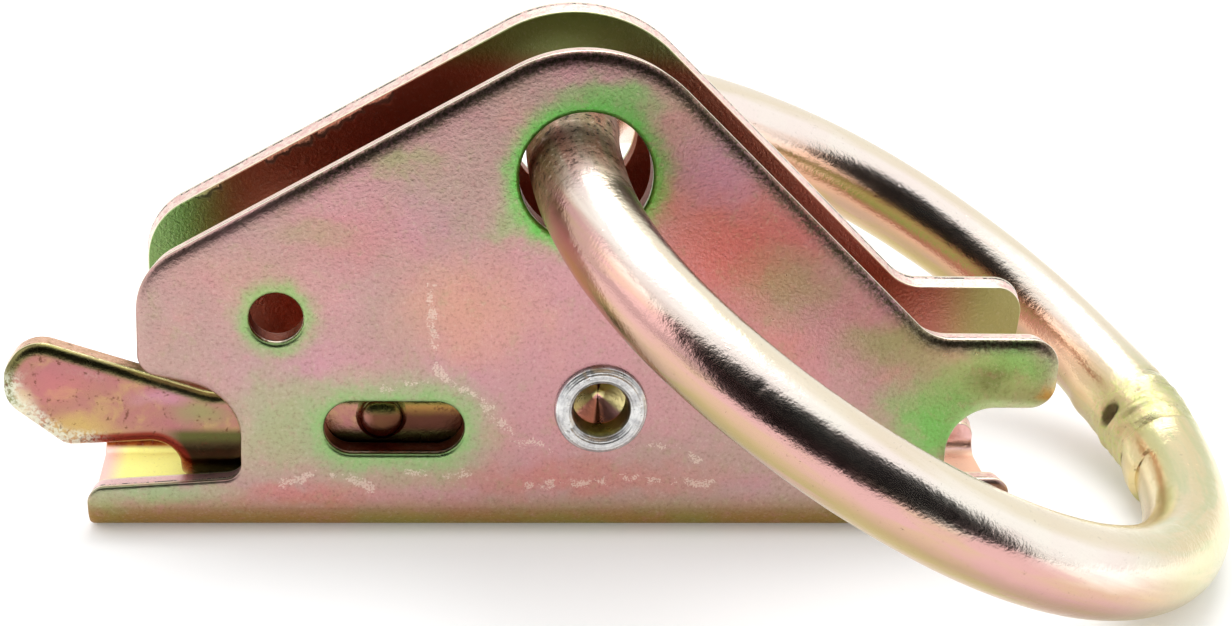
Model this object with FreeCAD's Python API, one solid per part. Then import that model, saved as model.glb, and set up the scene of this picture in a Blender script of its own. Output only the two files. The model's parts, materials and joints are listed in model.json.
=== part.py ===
"""Spring-latch anchor with a welded O-ring for slotted tie-down rail.

One folded steel channel hooks into the slot of the rail. A spring-loaded latch
slides inside the channel and fills the notch at its left end. A hollow rivet
ties the two cheeks together and carries the end of the spring. A welded ring
swings freely through two large holes.

Frame: +X towards the nose, -Y towards the side with the rolled rivet rim, +Z up.
The origin lies on the standing surface, straight below the ring hole, midway
between the cheeks. Millimetres.
"""
import math
import os

import FreeCAD
import Part

V = FreeCAD.Vector

# Working values: how close two places count as one, and how far cutters reach past a face
TOUCH = 1e-6
CUTTER_MARGIN = 1.0

# Channel sheet
CHANNEL_WIDTH = 13.7
CHANNEL_SHEET = 2.3
CHANNEL_INNER_BEND = 1.2

# Left end of the cheeks, with the jaw below the latch notch
LEFT_EDGE_X = -32.55
JAW_REACH = 3.95
JAW_TOP_Z = 4.15
JAW_TOP_RISE = 0.78
JAW_TIP_ROUND = 1.3
LATCH_NOTCH_DEPTH = 7.5
LATCH_NOTCH_HEIGHT = 6.97
LATCH_NOTCH_LOW_ROUND = 1.3
LATCH_NOTCH_HIGH_ROUND = 4.8
LATCH_NOTCH_TOP_SLOPE = 12.1
LATCH_NOTCH_CORNER_ROUND = 1.7
END_EDGE_ROUND = 0.6

# Right end of the cheeks, with the hook below the rail notch and the nose above it
RAIL_NOTCH_WALL_X = 28.8
RAIL_NOTCH_HEIGHT = 6.0
RAIL_NOTCH_HIGH_ROUND = 3.6
RAIL_NOTCH_LOW_ROUND = 1.3
HOOK_TOP_Z = 5.0
HOOK_REACH = 5.4
HOOK_TIP_ROUND = 1.4
NOSE_REACH = 8.15
NOSE_HEIGHT = 5.7
NOSE_VALLEY_ROUND = 3.7
NOSE_TOP_ROUND = 2.3
NOSE_BOTTOM_ROUND = 2.0

# Upper outline, rounded about a point just below the ring hole
SHOULDER_ROUND = 5.2
LEFT_SLOPE = 30.2
RIGHT_SLOPE = 43.9
APEX_ROUND = 10.5
APEX_CENTRE_SHIFT = -0.1
APEX_CENTRE_DROP = 1.07

# Holes in the cheeks
RING_HOLE_X = 0.0
RING_HOLE_Z = 29.2
RING_HOLE_PLAY = 3.2
PILOT_HOLE_X = -22.4
PILOT_HOLE_Z = 17.95
PILOT_HOLE_DIAMETER = 4.0

# Hollow rivet
RIVET_X = 1.85
RIVET_Z = 10.95
RIVET_SHANK_DIAMETER = 5.6
RIVET_HOLE_CLEARANCE = 0.05
RIVET_RIM_DIAMETER = 7.1
RIVET_RIM_HEIGHT = 0.65
RIVET_BORE_DIAMETER = 4.1
RIVET_BORE_FLARE = 0.22
RIVET_BORE_DEPTH = 2.5
RIVET_BORE_CONE = 1.1
RIVET_HEAD_DIAMETER = 9.0
RIVET_HEAD_HEIGHT = 1.25
RIVET_HEAD_CROWN = 0.35
RIVET_HEAD_FLAT_DIAMETER = 4.2

# Latch sheet
LATCH_SHEET = 1.9
LATCH_SIDE_CLEARANCE = 0.2
LATCH_FLOOR_CLEARANCE = 0.2
LATCH_LOCK_FACE_X = -29.8
LATCH_LOCK_ROUND = 2.2
LATCH_TOP_Z = 10.85
LATCH_END_ROUND = 1.2
LATCH_STOP_CLEARANCE = 0.35
LATCH_TRAVEL_IN = 4.0
LATCH_TRAVEL_OUT = 2.6

# Thumb tab, one with the front flange of the latch; reaches run left of the lock face
TAB_UNDERSIDE_Z = 7.0
TAB_HEEL_REACH = 8.4
TAB_HEEL_DROP = 0.4
TAB_HEEL_ROUND = 1.5
TAB_TIP_REACH = 12.85
TAB_TIP_RISE = 3.1
TAB_TIP_HEIGHT = 2.5
TAB_TIP_ROUND = 2.4
TAB_TOP_SETBACK = 1.75
TAB_TOP_ROUND = 2.5
TAB_TOP_SLOPE = 18.4
TAB_ROOT_SETBACK = 2.3
TAB_ROOT_ROUND = 4.0

# Guide buttons drawn out of the latch flanges, and the windows that they slide in
BUTTON_X = -14.6
BUTTON_Z = 9.2
BUTTON_DIAMETER = 3.2
BUTTON_HEIGHT = 0.95
BUTTON_EDGE_BEVEL = 0.4
BUTTON_DIMPLE_DIAMETER = 1.9
BUTTON_DIMPLE_DEPTH = 0.9
WINDOW_LEFT_CLEARANCE = 0.1
WINDOW_RIGHT_CLEARANCE = 0.6
WINDOW_SIDE_CLEARANCE = 0.55

# Spring seat folded across the trough, with a square tongue inside the coil
SEAT_EDGE_GAP = 0.3
SEAT_FOLD_ROUND = 1.4
TONGUE_CLEARANCE = 0.3
TONGUE_LENGTH = 2.4

# Coil spring between the seat and the rivet
SPRING_WIRE = 0.7
SPRING_SIDE_CLEARANCE = 0.15
SPRING_END_CLEARANCE = 0.05
SPRING_RISE_OVER_RIVET = 0.25
SPRING_TURNS = 8.0
SPRING_WIRE_FLAT_COUNT = 8

# Welded ring, leaning in its hole with its far side on the standing surface
RING_BAR_DIAMETER = 6.6
RING_BAR_FLAT_COUNT = 18
RING_RADIUS = 28.1
RING_SKEW = 6.9
RING_CENTRE_Y = -2.54
RING_REST_GAP = 0.4
RING_REST_ANGLE = 150.0
WELD_POSITION = 20.0
WELD_ARC = 6.5
WELD_SWELL = 0.25

# Worked out from the sizes above
HALF_WIDTH = CHANNEL_WIDTH / 2.0
CHEEK_INNER_Y = HALF_WIDTH - CHANNEL_SHEET
LATCH_NOTCH_WALL_X = LEFT_EDGE_X + LATCH_NOTCH_DEPTH
LATCH_NOTCH_LOW_Z = JAW_TOP_Z + JAW_TOP_RISE
LATCH_NOTCH_TOP_Z = LATCH_NOTCH_LOW_Z + LATCH_NOTCH_HEIGHT
JAW_TIP_X = LEFT_EDGE_X - JAW_REACH
HOOK_TIP_X = RAIL_NOTCH_WALL_X + HOOK_REACH
NOSE_TIP_X = RAIL_NOTCH_WALL_X + NOSE_REACH
NOSE_BOTTOM_Z = HOOK_TOP_Z + RAIL_NOTCH_HEIGHT
NOSE_TOP_Z = NOSE_BOTTOM_Z + NOSE_HEIGHT
APEX_CENTRE_X = RING_HOLE_X + APEX_CENTRE_SHIFT
APEX_CENTRE_Z = RING_HOLE_Z - APEX_CENTRE_DROP
RING_HOLE_DIAMETER = RING_BAR_DIAMETER + RING_HOLE_PLAY
RING_REST_REACH = RING_HOLE_PLAY / 2.0 - RING_REST_GAP
RING_REST_X = RING_HOLE_X + RING_REST_REACH * math.cos(math.radians(RING_REST_ANGLE))
RING_REST_Z = RING_HOLE_Z + RING_REST_REACH * math.sin(math.radians(RING_REST_ANGLE))
LATCH_HALF_WIDTH = CHEEK_INNER_Y - LATCH_SIDE_CLEARANCE
LATCH_BOTTOM_Z = CHANNEL_SHEET + LATCH_FLOOR_CLEARANCE
LATCH_AXIS_Z = LATCH_BOTTOM_Z + LATCH_HALF_WIDTH
TROUGH_RADIUS = LATCH_HALF_WIDTH - LATCH_SHEET
RIVET_SHANK_LEFT_X = RIVET_X - RIVET_SHANK_DIAMETER / 2.0
LATCH_END_X = RIVET_SHANK_LEFT_X - LATCH_STOP_CLEARANCE - LATCH_TRAVEL_IN
SEAT_FACE_X = LATCH_LOCK_FACE_X + LATCH_SHEET
TAB_HEEL_X = LATCH_LOCK_FACE_X - TAB_HEEL_REACH
TAB_TIP_X = LATCH_LOCK_FACE_X - TAB_TIP_REACH
TAB_TOP_X = TAB_TIP_X + TAB_TOP_SETBACK
TAB_ROOT_X = LATCH_LOCK_FACE_X + TAB_ROOT_SETBACK
TAB_HEEL_Z = TAB_UNDERSIDE_Z - TAB_HEEL_DROP
TAB_TIP_LOW_Z = TAB_UNDERSIDE_Z + TAB_TIP_RISE
TAB_TIP_HIGH_Z = TAB_TIP_LOW_Z + TAB_TIP_HEIGHT
BUTTON_RADIUS = BUTTON_DIAMETER / 2.0
WINDOW_LEFT_X = BUTTON_X - BUTTON_RADIUS - LATCH_TRAVEL_OUT - WINDOW_LEFT_CLEARANCE
WINDOW_RIGHT_X = BUTTON_X + BUTTON_RADIUS + LATCH_TRAVEL_IN + WINDOW_RIGHT_CLEARANCE
WINDOW_HALF_HEIGHT = BUTTON_RADIUS + WINDOW_SIDE_CLEARANCE
SPRING_DIAMETER = 2 * (TROUGH_RADIUS - SPRING_SIDE_CLEARANCE)
SPRING_HIGH_Z = RIVET_Z - SPRING_DIAMETER / 2.0 + SPRING_RISE_OVER_RIVET
SPRING_Z = max(SPRING_HIGH_Z, LATCH_AXIS_Z)
TONGUE_SIDE = math.sqrt(2) * (SPRING_DIAMETER / 2.0 - SPRING_WIRE - TONGUE_CLEARANCE)


def rounded_wire(corners):
    """Closed wire in the XZ plane through corners (x, z, radius), each corner an arc."""
    count = len(corners)
    starts = []
    ends = []
    mids = []
    for index in range(count):
        x, z, radius = corners[index]
        here = V(x, 0, z)
        before = V(corners[index - 1][0], 0, corners[index - 1][1])
        after_x, after_z, unused = corners[(index + 1) % count]
        after = V(after_x, 0, after_z)
        back = (before - here).normalize()
        ahead = (after - here).normalize()
        half_angle = back.getAngle(ahead) / 2.0
        reach = radius / math.tan(half_angle)
        bisector = (back + ahead).normalize()
        starts.append(here + back * reach)
        ends.append(here + ahead * reach)
        mids.append(here + bisector * (radius / math.sin(half_angle) - radius))
    edges = []
    for index in range(count):
        if corners[index][2] > 0:
            edges.append(Part.Arc(starts[index], mids[index], ends[index]).toShape())
        following = (index + 1) % count
        if ends[index].distanceToPoint(starts[following]) > TOUCH:
            edges.append(Part.LineSegment(ends[index], starts[following]).toShape())
    return Part.Wire(Part.__sortEdges__(edges))


def prism_across(wire, y_from, y_to):
    """Face of an XZ wire, pushed from y_from to y_to."""
    face = Part.Face(wire)
    face.translate(V(0, y_from, 0))
    return face.extrude(V(0, y_to - y_from, 0))


def round_cutter(x, z, diameter):
    """Cylinder along Y that reaches past both cheeks."""
    return Part.makeCylinder(
        diameter / 2.0, 2 * CHANNEL_WIDTH, V(x, -CHANNEL_WIDTH, z), V(0, 1, 0))


def slope_line_z(x, anchor_x, anchor_z, degrees):
    """Height at x of a line through the anchor that rises by degrees towards +X."""
    return anchor_z + (x - anchor_x) * math.tan(math.radians(degrees))


def cheek_corners():
    """Side view of the channel, clockwise from the lower left."""
    left = math.radians(LEFT_SLOPE)
    right = math.radians(RIGHT_SLOPE)
    left_x = APEX_CENTRE_X - APEX_ROUND * math.sin(left)
    left_z = APEX_CENTRE_Z + APEX_ROUND * math.cos(left)
    right_x = APEX_CENTRE_X + APEX_ROUND * math.sin(right)
    right_z = APEX_CENTRE_Z + APEX_ROUND * math.cos(right)
    apex_x = (right_z - left_z + left_x * math.tan(left) + right_x * math.tan(right))
    apex_x = apex_x / (math.tan(left) + math.tan(right))
    apex_z = slope_line_z(apex_x, left_x, left_z, LEFT_SLOPE)
    shoulder_z = slope_line_z(LEFT_EDGE_X, left_x, left_z, LEFT_SLOPE)
    valley_x = right_x + (right_z - NOSE_TOP_Z) / math.tan(right)
    notch_corner_z = slope_line_z(
        LEFT_EDGE_X, LATCH_NOTCH_WALL_X, LATCH_NOTCH_TOP_Z, -LATCH_NOTCH_TOP_SLOPE)
    return [
        (JAW_TIP_X, 0.0, END_EDGE_ROUND),
        (JAW_TIP_X, JAW_TOP_Z, JAW_TIP_ROUND),
        (LATCH_NOTCH_WALL_X, LATCH_NOTCH_LOW_Z, LATCH_NOTCH_LOW_ROUND),
        (LATCH_NOTCH_WALL_X, LATCH_NOTCH_TOP_Z, LATCH_NOTCH_HIGH_ROUND),
        (LEFT_EDGE_X, notch_corner_z, LATCH_NOTCH_CORNER_ROUND),
        (LEFT_EDGE_X, shoulder_z, SHOULDER_ROUND),
        (apex_x, apex_z, APEX_ROUND),
        (valley_x, NOSE_TOP_Z, NOSE_VALLEY_ROUND),
        (NOSE_TIP_X, NOSE_TOP_Z, NOSE_TOP_ROUND),
        (NOSE_TIP_X, NOSE_BOTTOM_Z, NOSE_BOTTOM_ROUND),
        (RAIL_NOTCH_WALL_X, NOSE_BOTTOM_Z, RAIL_NOTCH_HIGH_ROUND),
        (RAIL_NOTCH_WALL_X, HOOK_TOP_Z, RAIL_NOTCH_LOW_ROUND),
        (HOOK_TIP_X, HOOK_TOP_Z, HOOK_TIP_ROUND),
        (HOOK_TIP_X, 0.0, END_EDGE_ROUND),
    ]


def bottom_edges_along_x(solid, z):
    """The two edges of a box that run along X at height z."""
    found = []
    for edge in solid.Edges:
        box = edge.BoundBox
        if abs(box.ZMax - z) < TOUCH and box.YLength < TOUCH:
            found.append(edge)
    return found


def channel_section(length, start_x, height):
    """Folded U section, open at the top, run along X."""
    outer_bend = CHANNEL_INNER_BEND + CHANNEL_SHEET
    outer = Part.makeBox(length, CHANNEL_WIDTH, height, V(start_x, -HALF_WIDTH, 0))
    inner = Part.makeBox(
        length, 2 * CHEEK_INNER_Y, height, V(start_x, -CHEEK_INNER_Y, CHANNEL_SHEET))
    outer = outer.makeFillet(outer_bend, bottom_edges_along_x(outer, 0.0))
    inner = inner.makeFillet(CHANNEL_INNER_BEND, bottom_edges_along_x(inner, CHANNEL_SHEET))
    return outer.cut(inner)


def make_window():
    """Cutter for the guide slot with full round ends, through both cheeks."""
    low = BUTTON_Z - WINDOW_HALF_HEIGHT
    high = BUTTON_Z + WINDOW_HALF_HEIGHT
    outline = rounded_wire([
        (WINDOW_LEFT_X, low, WINDOW_HALF_HEIGHT),
        (WINDOW_LEFT_X, high, WINDOW_HALF_HEIGHT),
        (WINDOW_RIGHT_X, high, WINDOW_HALF_HEIGHT),
        (WINDOW_RIGHT_X, low, WINDOW_HALF_HEIGHT),
    ])
    return prism_across(outline, -CHANNEL_WIDTH, CHANNEL_WIDTH)


def make_channel():
    """Folded channel with two equal cheeks and their holes."""
    silhouette = prism_across(rounded_wire(cheek_corners()), -CHANNEL_WIDTH, CHANNEL_WIDTH)
    box = silhouette.BoundBox
    section = channel_section(
        box.XLength + 2 * CUTTER_MARGIN, box.XMin - CUTTER_MARGIN, box.ZMax + CUTTER_MARGIN)
    rivet_hole = RIVET_SHANK_DIAMETER + 2 * RIVET_HOLE_CLEARANCE
    channel = section.common(silhouette).cut([
        round_cutter(RING_HOLE_X, RING_HOLE_Z, RING_HOLE_DIAMETER),
        round_cutter(PILOT_HOLE_X, PILOT_HOLE_Z, PILOT_HOLE_DIAMETER),
        round_cutter(RIVET_X, RIVET_Z, rivet_hole),
        make_window(),
    ])
    return channel.removeSplitter().Solids[0]


def trough_section(half_width, axis_z, top_z):
    """Closed YZ outline of a trough with a full round bottom."""
    low = V(0, 0, axis_z - half_width)
    left = V(0, -half_width, axis_z)
    right = V(0, half_width, axis_z)
    left_top = V(0, -half_width, top_z)
    right_top = V(0, half_width, top_z)
    return Part.Wire([
        Part.LineSegment(left_top, left).toShape(),
        Part.Arc(left, low, right).toShape(),
        Part.LineSegment(right, right_top).toShape(),
        Part.LineSegment(right_top, left_top).toShape(),
    ])


def trough_prism(half_width, axis_z, top_z, start_x, end_x):
    """Trough outline pushed along X."""
    face = Part.Face(trough_section(half_width, axis_z, top_z))
    face.translate(V(start_x, 0, 0))
    return face.extrude(V(end_x - start_x, 0, 0))


def latch_side_corners(with_tab):
    """Side view of one latch flange, clockwise from the lower left."""
    low_z = LATCH_BOTTOM_Z - CUTTER_MARGIN
    corners = [(LATCH_LOCK_FACE_X, low_z, 0.0)]
    if with_tab:
        top_z = slope_line_z(TAB_TOP_X, TAB_ROOT_X, LATCH_TOP_Z, -TAB_TOP_SLOPE)
        corners += [
            (LATCH_LOCK_FACE_X, TAB_UNDERSIDE_Z, LATCH_LOCK_ROUND),
            (TAB_HEEL_X, TAB_HEEL_Z, TAB_HEEL_ROUND),
            (TAB_TIP_X, TAB_TIP_LOW_Z, TAB_TIP_ROUND),
            (TAB_TIP_X, TAB_TIP_HIGH_Z, TAB_TIP_ROUND),
            (TAB_TOP_X, top_z, TAB_TOP_ROUND),
            (TAB_ROOT_X, LATCH_TOP_Z, TAB_ROOT_ROUND),
        ]
    else:
        corners += [(LATCH_LOCK_FACE_X, LATCH_TOP_Z, LATCH_END_ROUND)]
    corners += [
        (LATCH_END_X, LATCH_TOP_Z, LATCH_END_ROUND),
        (LATCH_END_X, low_z, 0.0),
    ]
    return corners


def make_button(side):
    """Round button pressed out of a flange; side is -1 for the front, +1 for the back."""
    start_y = LATCH_HALF_WIDTH - LATCH_SHEET / 2.0
    bevel_y = LATCH_HALF_WIDTH + BUTTON_HEIGHT - BUTTON_EDGE_BEVEL
    top_y = LATCH_HALF_WIDTH + BUTTON_HEIGHT
    return revolved_across([
        (0.0, side * start_y),
        (BUTTON_RADIUS, side * start_y),
        (BUTTON_RADIUS, side * bevel_y),
        (BUTTON_RADIUS - BUTTON_EDGE_BEVEL, side * top_y),
        (0.0, side * top_y),
    ], BUTTON_X, BUTTON_Z)


def make_dimple(side):
    """Recess that the punch leaves behind a button."""
    inner_y = LATCH_HALF_WIDTH - LATCH_SHEET
    return Part.makeCylinder(
        BUTTON_DIMPLE_DIAMETER / 2.0, BUTTON_DIMPLE_DEPTH,
        V(BUTTON_X, side * inner_y, BUTTON_Z), V(0, side, 0))


def make_seat():
    """End flap folded from the back flange, with the tongue that centres the coil."""
    reach = TROUGH_RADIUS - SEAT_EDGE_GAP
    half_disc = trough_prism(reach, LATCH_AXIS_Z, LATCH_TOP_Z, LATCH_LOCK_FACE_X, SEAT_FACE_X)
    bridge = Part.makeBox(
        LATCH_SHEET, LATCH_HALF_WIDTH, LATCH_TOP_Z - LATCH_AXIS_Z,
        V(LATCH_LOCK_FACE_X, 0, LATCH_AXIS_Z))
    fold = [edge for edge in bridge.Edges
            if edge.BoundBox.ZLength > edge.BoundBox.XLength + edge.BoundBox.YLength
            and abs(edge.BoundBox.XMin - LATCH_LOCK_FACE_X) < TOUCH
            and abs(edge.BoundBox.YMax - LATCH_HALF_WIDTH) < TOUCH]
    bridge = bridge.makeFillet(SEAT_FOLD_ROUND, fold)
    tongue = Part.makeBox(
        LATCH_SHEET / 2.0 + TONGUE_LENGTH, TONGUE_SIDE, TONGUE_SIDE,
        V(SEAT_FACE_X - LATCH_SHEET / 2.0, -TONGUE_SIDE / 2.0, SPRING_Z - TONGUE_SIDE / 2.0))
    return half_disc.fuse([bridge, tongue])


def make_latch():
    """Sliding latch: round-bottomed trough, thumb tab, seat flap and two buttons."""
    start_x = TAB_TIP_X - CUTTER_MARGIN
    top_z = TAB_TIP_HIGH_Z + LATCH_TOP_Z
    outer = trough_prism(LATCH_HALF_WIDTH, LATCH_AXIS_Z, top_z, start_x, LATCH_END_X)
    inner = trough_prism(TROUGH_RADIUS, LATCH_AXIS_Z, top_z, start_x, LATCH_END_X)
    trough = outer.cut(inner)
    front_side = prism_across(rounded_wire(latch_side_corners(True)), -CHANNEL_WIDTH, 0.0)
    back_side = prism_across(rounded_wire(latch_side_corners(False)), 0.0, CHANNEL_WIDTH)
    latch = trough.common(front_side).fuse(trough.common(back_side))
    latch = latch.fuse([make_seat(), make_button(-1), make_button(1)])
    latch = latch.cut([make_dimple(-1), make_dimple(1)])
    return latch.removeSplitter().Solids[0]


def revolved_across(profile, x, z):
    """Solid of revolution about a Y axis through (x, z); profile holds (radius, y) points."""
    points = [V(x + radius, y, z) for radius, y in profile]
    face = Part.Face(Part.makePolygon(points + [points[0]]))
    return face.revolve(V(x, 0, z), V(0, 1, 0), 360)


def make_rivet():
    """Semi-tubular rivet: rolled rim in front, low round head behind."""
    shank = RIVET_SHANK_DIAMETER / 2.0
    bore = RIVET_BORE_DIAMETER / 2.0
    rim = RIVET_RIM_DIAMETER / 2.0
    front = -HALF_WIDTH
    crown_y = front - RIVET_RIM_HEIGHT
    floor_y = crown_y + RIVET_BORE_DEPTH
    head = RIVET_HEAD_DIAMETER / 2.0
    return revolved_across([
        (0.0, floor_y + RIVET_BORE_CONE),
        (bore, floor_y),
        (bore, crown_y + RIVET_RIM_HEIGHT),
        (bore + RIVET_BORE_FLARE, crown_y),
        (rim - RIVET_RIM_HEIGHT / 2.0, crown_y),
        (rim, crown_y + RIVET_RIM_HEIGHT / 2.0),
        (rim, front),
        (shank, front),
        (shank, HALF_WIDTH),
        (head, HALF_WIDTH),
        (head, HALF_WIDTH + RIVET_HEAD_CROWN),
        (RIVET_HEAD_FLAT_DIAMETER / 2.0, HALF_WIDTH + RIVET_HEAD_HEIGHT),
        (0.0, HALF_WIDTH + RIVET_HEAD_HEIGHT),
    ], RIVET_X, RIVET_Z)


def bar_section(diameter, centre_x, flats):
    """Section of a round bar in the XZ plane, as a polygon of the same area."""
    turn = 2 * math.pi / flats
    reach = diameter / 2.0 * math.sqrt(turn / math.sin(turn))
    points = []
    for index in range(flats + 1):
        angle = turn * (index + 0.5)
        points.append(V(centre_x + reach * math.cos(angle), 0, reach * math.sin(angle)))
    return Part.makePolygon(points)


def make_spring():
    """Compression coil along X between the seat flap and the rivet shank."""
    start_x = SEAT_FACE_X + SPRING_END_CLEARANCE
    end_x = RIVET_SHANK_LEFT_X - SPRING_END_CLEARANCE
    coil_length = end_x - start_x - SPRING_WIRE
    coil_radius = (SPRING_DIAMETER - SPRING_WIRE) / 2.0
    helix = Part.makeHelix(coil_length / SPRING_TURNS, coil_length, coil_radius)
    section = bar_section(SPRING_WIRE, coil_radius, SPRING_WIRE_FLAT_COUNT)
    coil = Part.Wire(helix).makePipeShell([section], True, True)
    coil.rotate(V(0, 0, 0), V(0, 1, 0), -90)
    coil.translate(V(end_x - SPRING_WIRE / 2.0, 0, SPRING_Z))
    return coil.Solids[0]


def ring_lean():
    """Lean below the horizontal that lets the far side of the ring meet z = 0."""
    skew = math.sin(math.radians(RING_SKEW)) ** 2
    reach = (RING_REST_Z - RING_BAR_DIAMETER / 2.0) / RING_RADIUS
    root = math.sqrt(reach ** 2 + skew ** 2 - skew * reach ** 2)
    return math.asin((reach - root) / skew)


def make_ring():
    """Round bar bent to a circle, with the swell of its butt weld."""
    lean = ring_lean()
    skew = math.radians(-RING_SKEW)
    centre = V(
        RING_REST_X + RING_RADIUS * math.cos(lean),
        RING_CENTRE_Y,
        RING_REST_Z - RING_RADIUS * math.sin(lean))
    normal = V(
        math.sin(lean) * math.cos(skew),
        math.sin(skew),
        math.cos(lean) * math.cos(skew))
    bar = Part.Face(bar_section(RING_BAR_DIAMETER, RING_RADIUS, RING_BAR_FLAT_COUNT))
    weld = Part.Face(bar_section(
        RING_BAR_DIAMETER + 2 * WELD_SWELL, RING_RADIUS, RING_BAR_FLAT_COUNT))
    weld.rotate(V(0, 0, 0), V(0, 0, 1), WELD_POSITION - WELD_ARC / 2.0)
    bar.rotate(V(0, 0, 0), V(0, 0, 1), WELD_POSITION + WELD_ARC / 2.0)
    ring = bar.revolve(V(0, 0, 0), V(0, 0, 1), 360 - WELD_ARC)
    ring = ring.fuse(weld.revolve(V(0, 0, 0), V(0, 0, 1), WELD_ARC))
    radial = V(math.cos(lean), 0, -math.sin(lean))
    turn = FreeCAD.Rotation(radial, normal.cross(radial), normal, "ZXY")
    ring.Placement = FreeCAD.Placement(centre, turn)
    return ring.Solids[0]


def main():
    """Build every piece and write one STEP file for each."""
    pieces = {
        "channel": make_channel(),
        "latch": make_latch(),
        "rivet": make_rivet(),
        "spring": make_spring(),
        "ring": make_ring(),
    }
    os.makedirs("parts", exist_ok=True)
    for name, shape in pieces.items():
        shape.exportStep("parts/" + name + ".step")
        box = shape.BoundBox
        print(name, shape.isValid(), len(shape.Solids), round(shape.Volume, 1),
              [round(v, 2) for v in (box.XMin, box.XMax, box.YMin, box.YMax, box.ZMin, box.ZMax)])


main()
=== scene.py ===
"""Looks of the spring-latch rail anchor with its welded ring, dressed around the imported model.

Shapes are worked out in millimetres in the row frame and stored in metres. The
folded channel and the latch are sheets with rolled cut edges, the ring is a bent
bar with its weld, and every surface has plating made from nodes.
"""
import json
import math

import bmesh
import bpy
import numpy as np
from mathutils import Matrix, Vector, geometry, noise

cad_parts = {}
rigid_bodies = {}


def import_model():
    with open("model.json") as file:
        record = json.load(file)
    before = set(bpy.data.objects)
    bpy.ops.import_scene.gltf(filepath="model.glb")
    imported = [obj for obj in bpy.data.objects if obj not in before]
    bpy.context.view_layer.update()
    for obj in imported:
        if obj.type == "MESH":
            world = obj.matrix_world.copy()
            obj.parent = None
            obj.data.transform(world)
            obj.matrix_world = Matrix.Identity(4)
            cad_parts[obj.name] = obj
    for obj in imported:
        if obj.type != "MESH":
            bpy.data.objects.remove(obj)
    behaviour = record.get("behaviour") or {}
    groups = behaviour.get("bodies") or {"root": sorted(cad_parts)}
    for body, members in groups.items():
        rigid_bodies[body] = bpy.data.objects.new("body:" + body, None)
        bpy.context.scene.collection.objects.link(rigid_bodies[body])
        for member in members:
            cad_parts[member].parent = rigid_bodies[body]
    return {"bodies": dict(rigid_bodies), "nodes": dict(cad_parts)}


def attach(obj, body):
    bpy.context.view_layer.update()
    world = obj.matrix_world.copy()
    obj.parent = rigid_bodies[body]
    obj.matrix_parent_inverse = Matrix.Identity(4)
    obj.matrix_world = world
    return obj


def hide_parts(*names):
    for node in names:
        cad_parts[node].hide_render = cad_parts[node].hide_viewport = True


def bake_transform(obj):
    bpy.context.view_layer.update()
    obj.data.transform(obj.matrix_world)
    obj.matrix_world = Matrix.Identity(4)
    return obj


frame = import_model()

MM = 0.001

# Camera, worked out from the photograph
CAMERA_PLACE = (-15.691, -168.997, 82.396)
CAMERA_YAW = 0.112466
CAMERA_PITCH = 0.372125
CAMERA_ROLL = 0.0505696
CAMERA_LENS = 68.926

# Channel, as in the model
CHANNEL_HALF_WIDTH = 6.85
CHANNEL_SHEET = 2.3
CHANNEL_BEND = 3.5
LEFT_EDGE_X = -32.55
JAW_TIP_X = -36.5
JAW_TOP_Z = 4.15
JAW_BACK_Z = 4.93
LATCH_NOTCH_X = -25.05
LATCH_NOTCH_TOP_Z = 11.9
LATCH_NOTCH_SLOPE = 12.1
RAIL_NOTCH_X = 28.8
HOOK_TOP_Z = 5.0
HOOK_TIP_X = 34.2
NOSE_TIP_X = 36.95
NOSE_BOTTOM_Z = 11.0
NOSE_TOP_Z = 16.7
LEFT_SLOPE = 30.2
RIGHT_SLOPE = 43.9
APEX_ROUND = 10.5
APEX_X = -0.1
APEX_Z = 28.13
RING_HOLE = (0.0, 29.2, 4.9)
PILOT_HOLE = (-22.4, 17.95, 2.0)
RIVET_HOLE = (1.85, 10.95, 2.85)
WINDOW = (-18.9, -8.4, 9.2, 2.15)
# Rolled edges, as reach along the face and depth into the sheet
# and the part of the roll that the jaw's edges lose
EDGE_ROLL = (1.15, 0.45)
HOLE_ROLL = (0.35, 0.22)
LATCH_ROLL = (0.95, 0.5)
JAW_ROLL_LOSS = 0.65
BURR = 0.06
# A punched edge falls back this far by its inner side
TAPER = 0.28
# The back cheek is cut this much fuller above its notches, from this height on
BACK_EXTRA = 0.3
BACK_EXTRA_Z = 13.0

# Latch, as in the model
LATCH_HALF_WIDTH = 4.35
LATCH_SHEET = 1.9
LATCH_AXIS_Z = 6.85
LATCH_TOP_Z = 10.85
LATCH_END_X = -5.3
LOCK_FACE_X = -29.8
# Corners of the thumb tab from its root round the tip, as x, z and round
TAB_CORNERS = ((LOCK_FACE_X, 7.0, 2.2), (-38.2, 6.45, 1.5), (-42.65, 9.95, 2.4), (-42.65, 12.45, 2.4))
TAB_TOP_X = -40.9
TAB_SLOPE_X = -27.5
TAB_SLOPE = 17.8
# Window button: x, z, radius and height, then its dome's half angle and that angle's cosine,
# its foot, and the flare under it as extra radius and height
BUTTON = (-14.6, 9.2, 1.6, 0.95)
DOME_ANGLE = 70.0
DOME_COSINE = 0.342
DOME_FOOT = 0.42
BUTTON_FLARE = ((0.5, -0.05), (0.2, 0.04), (0.02, 0.2))
SEAT_GAP = 0.3
TONGUE_WIDTH = 1.84
TONGUE_END_X = -25.5

# Rivet in front: cone and bore as radius and place, then its rim and the step down from it
RIVET_BORE = ((0.0, 3.9), (0.6, 4.22), (1.5, 4.72), (2.02, 5.0), (2.05, 5.1), (2.05, 6.7))
RIM_MIDDLE = 2.84
RIM_HALF_WIDTH = 0.7
RIM_HEIGHT = 0.65
RIM_ROUND = 0.51
RIVET_STEP = ((3.55, 0.06), (3.52, 0.005), (2.8, 0.0))
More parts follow.
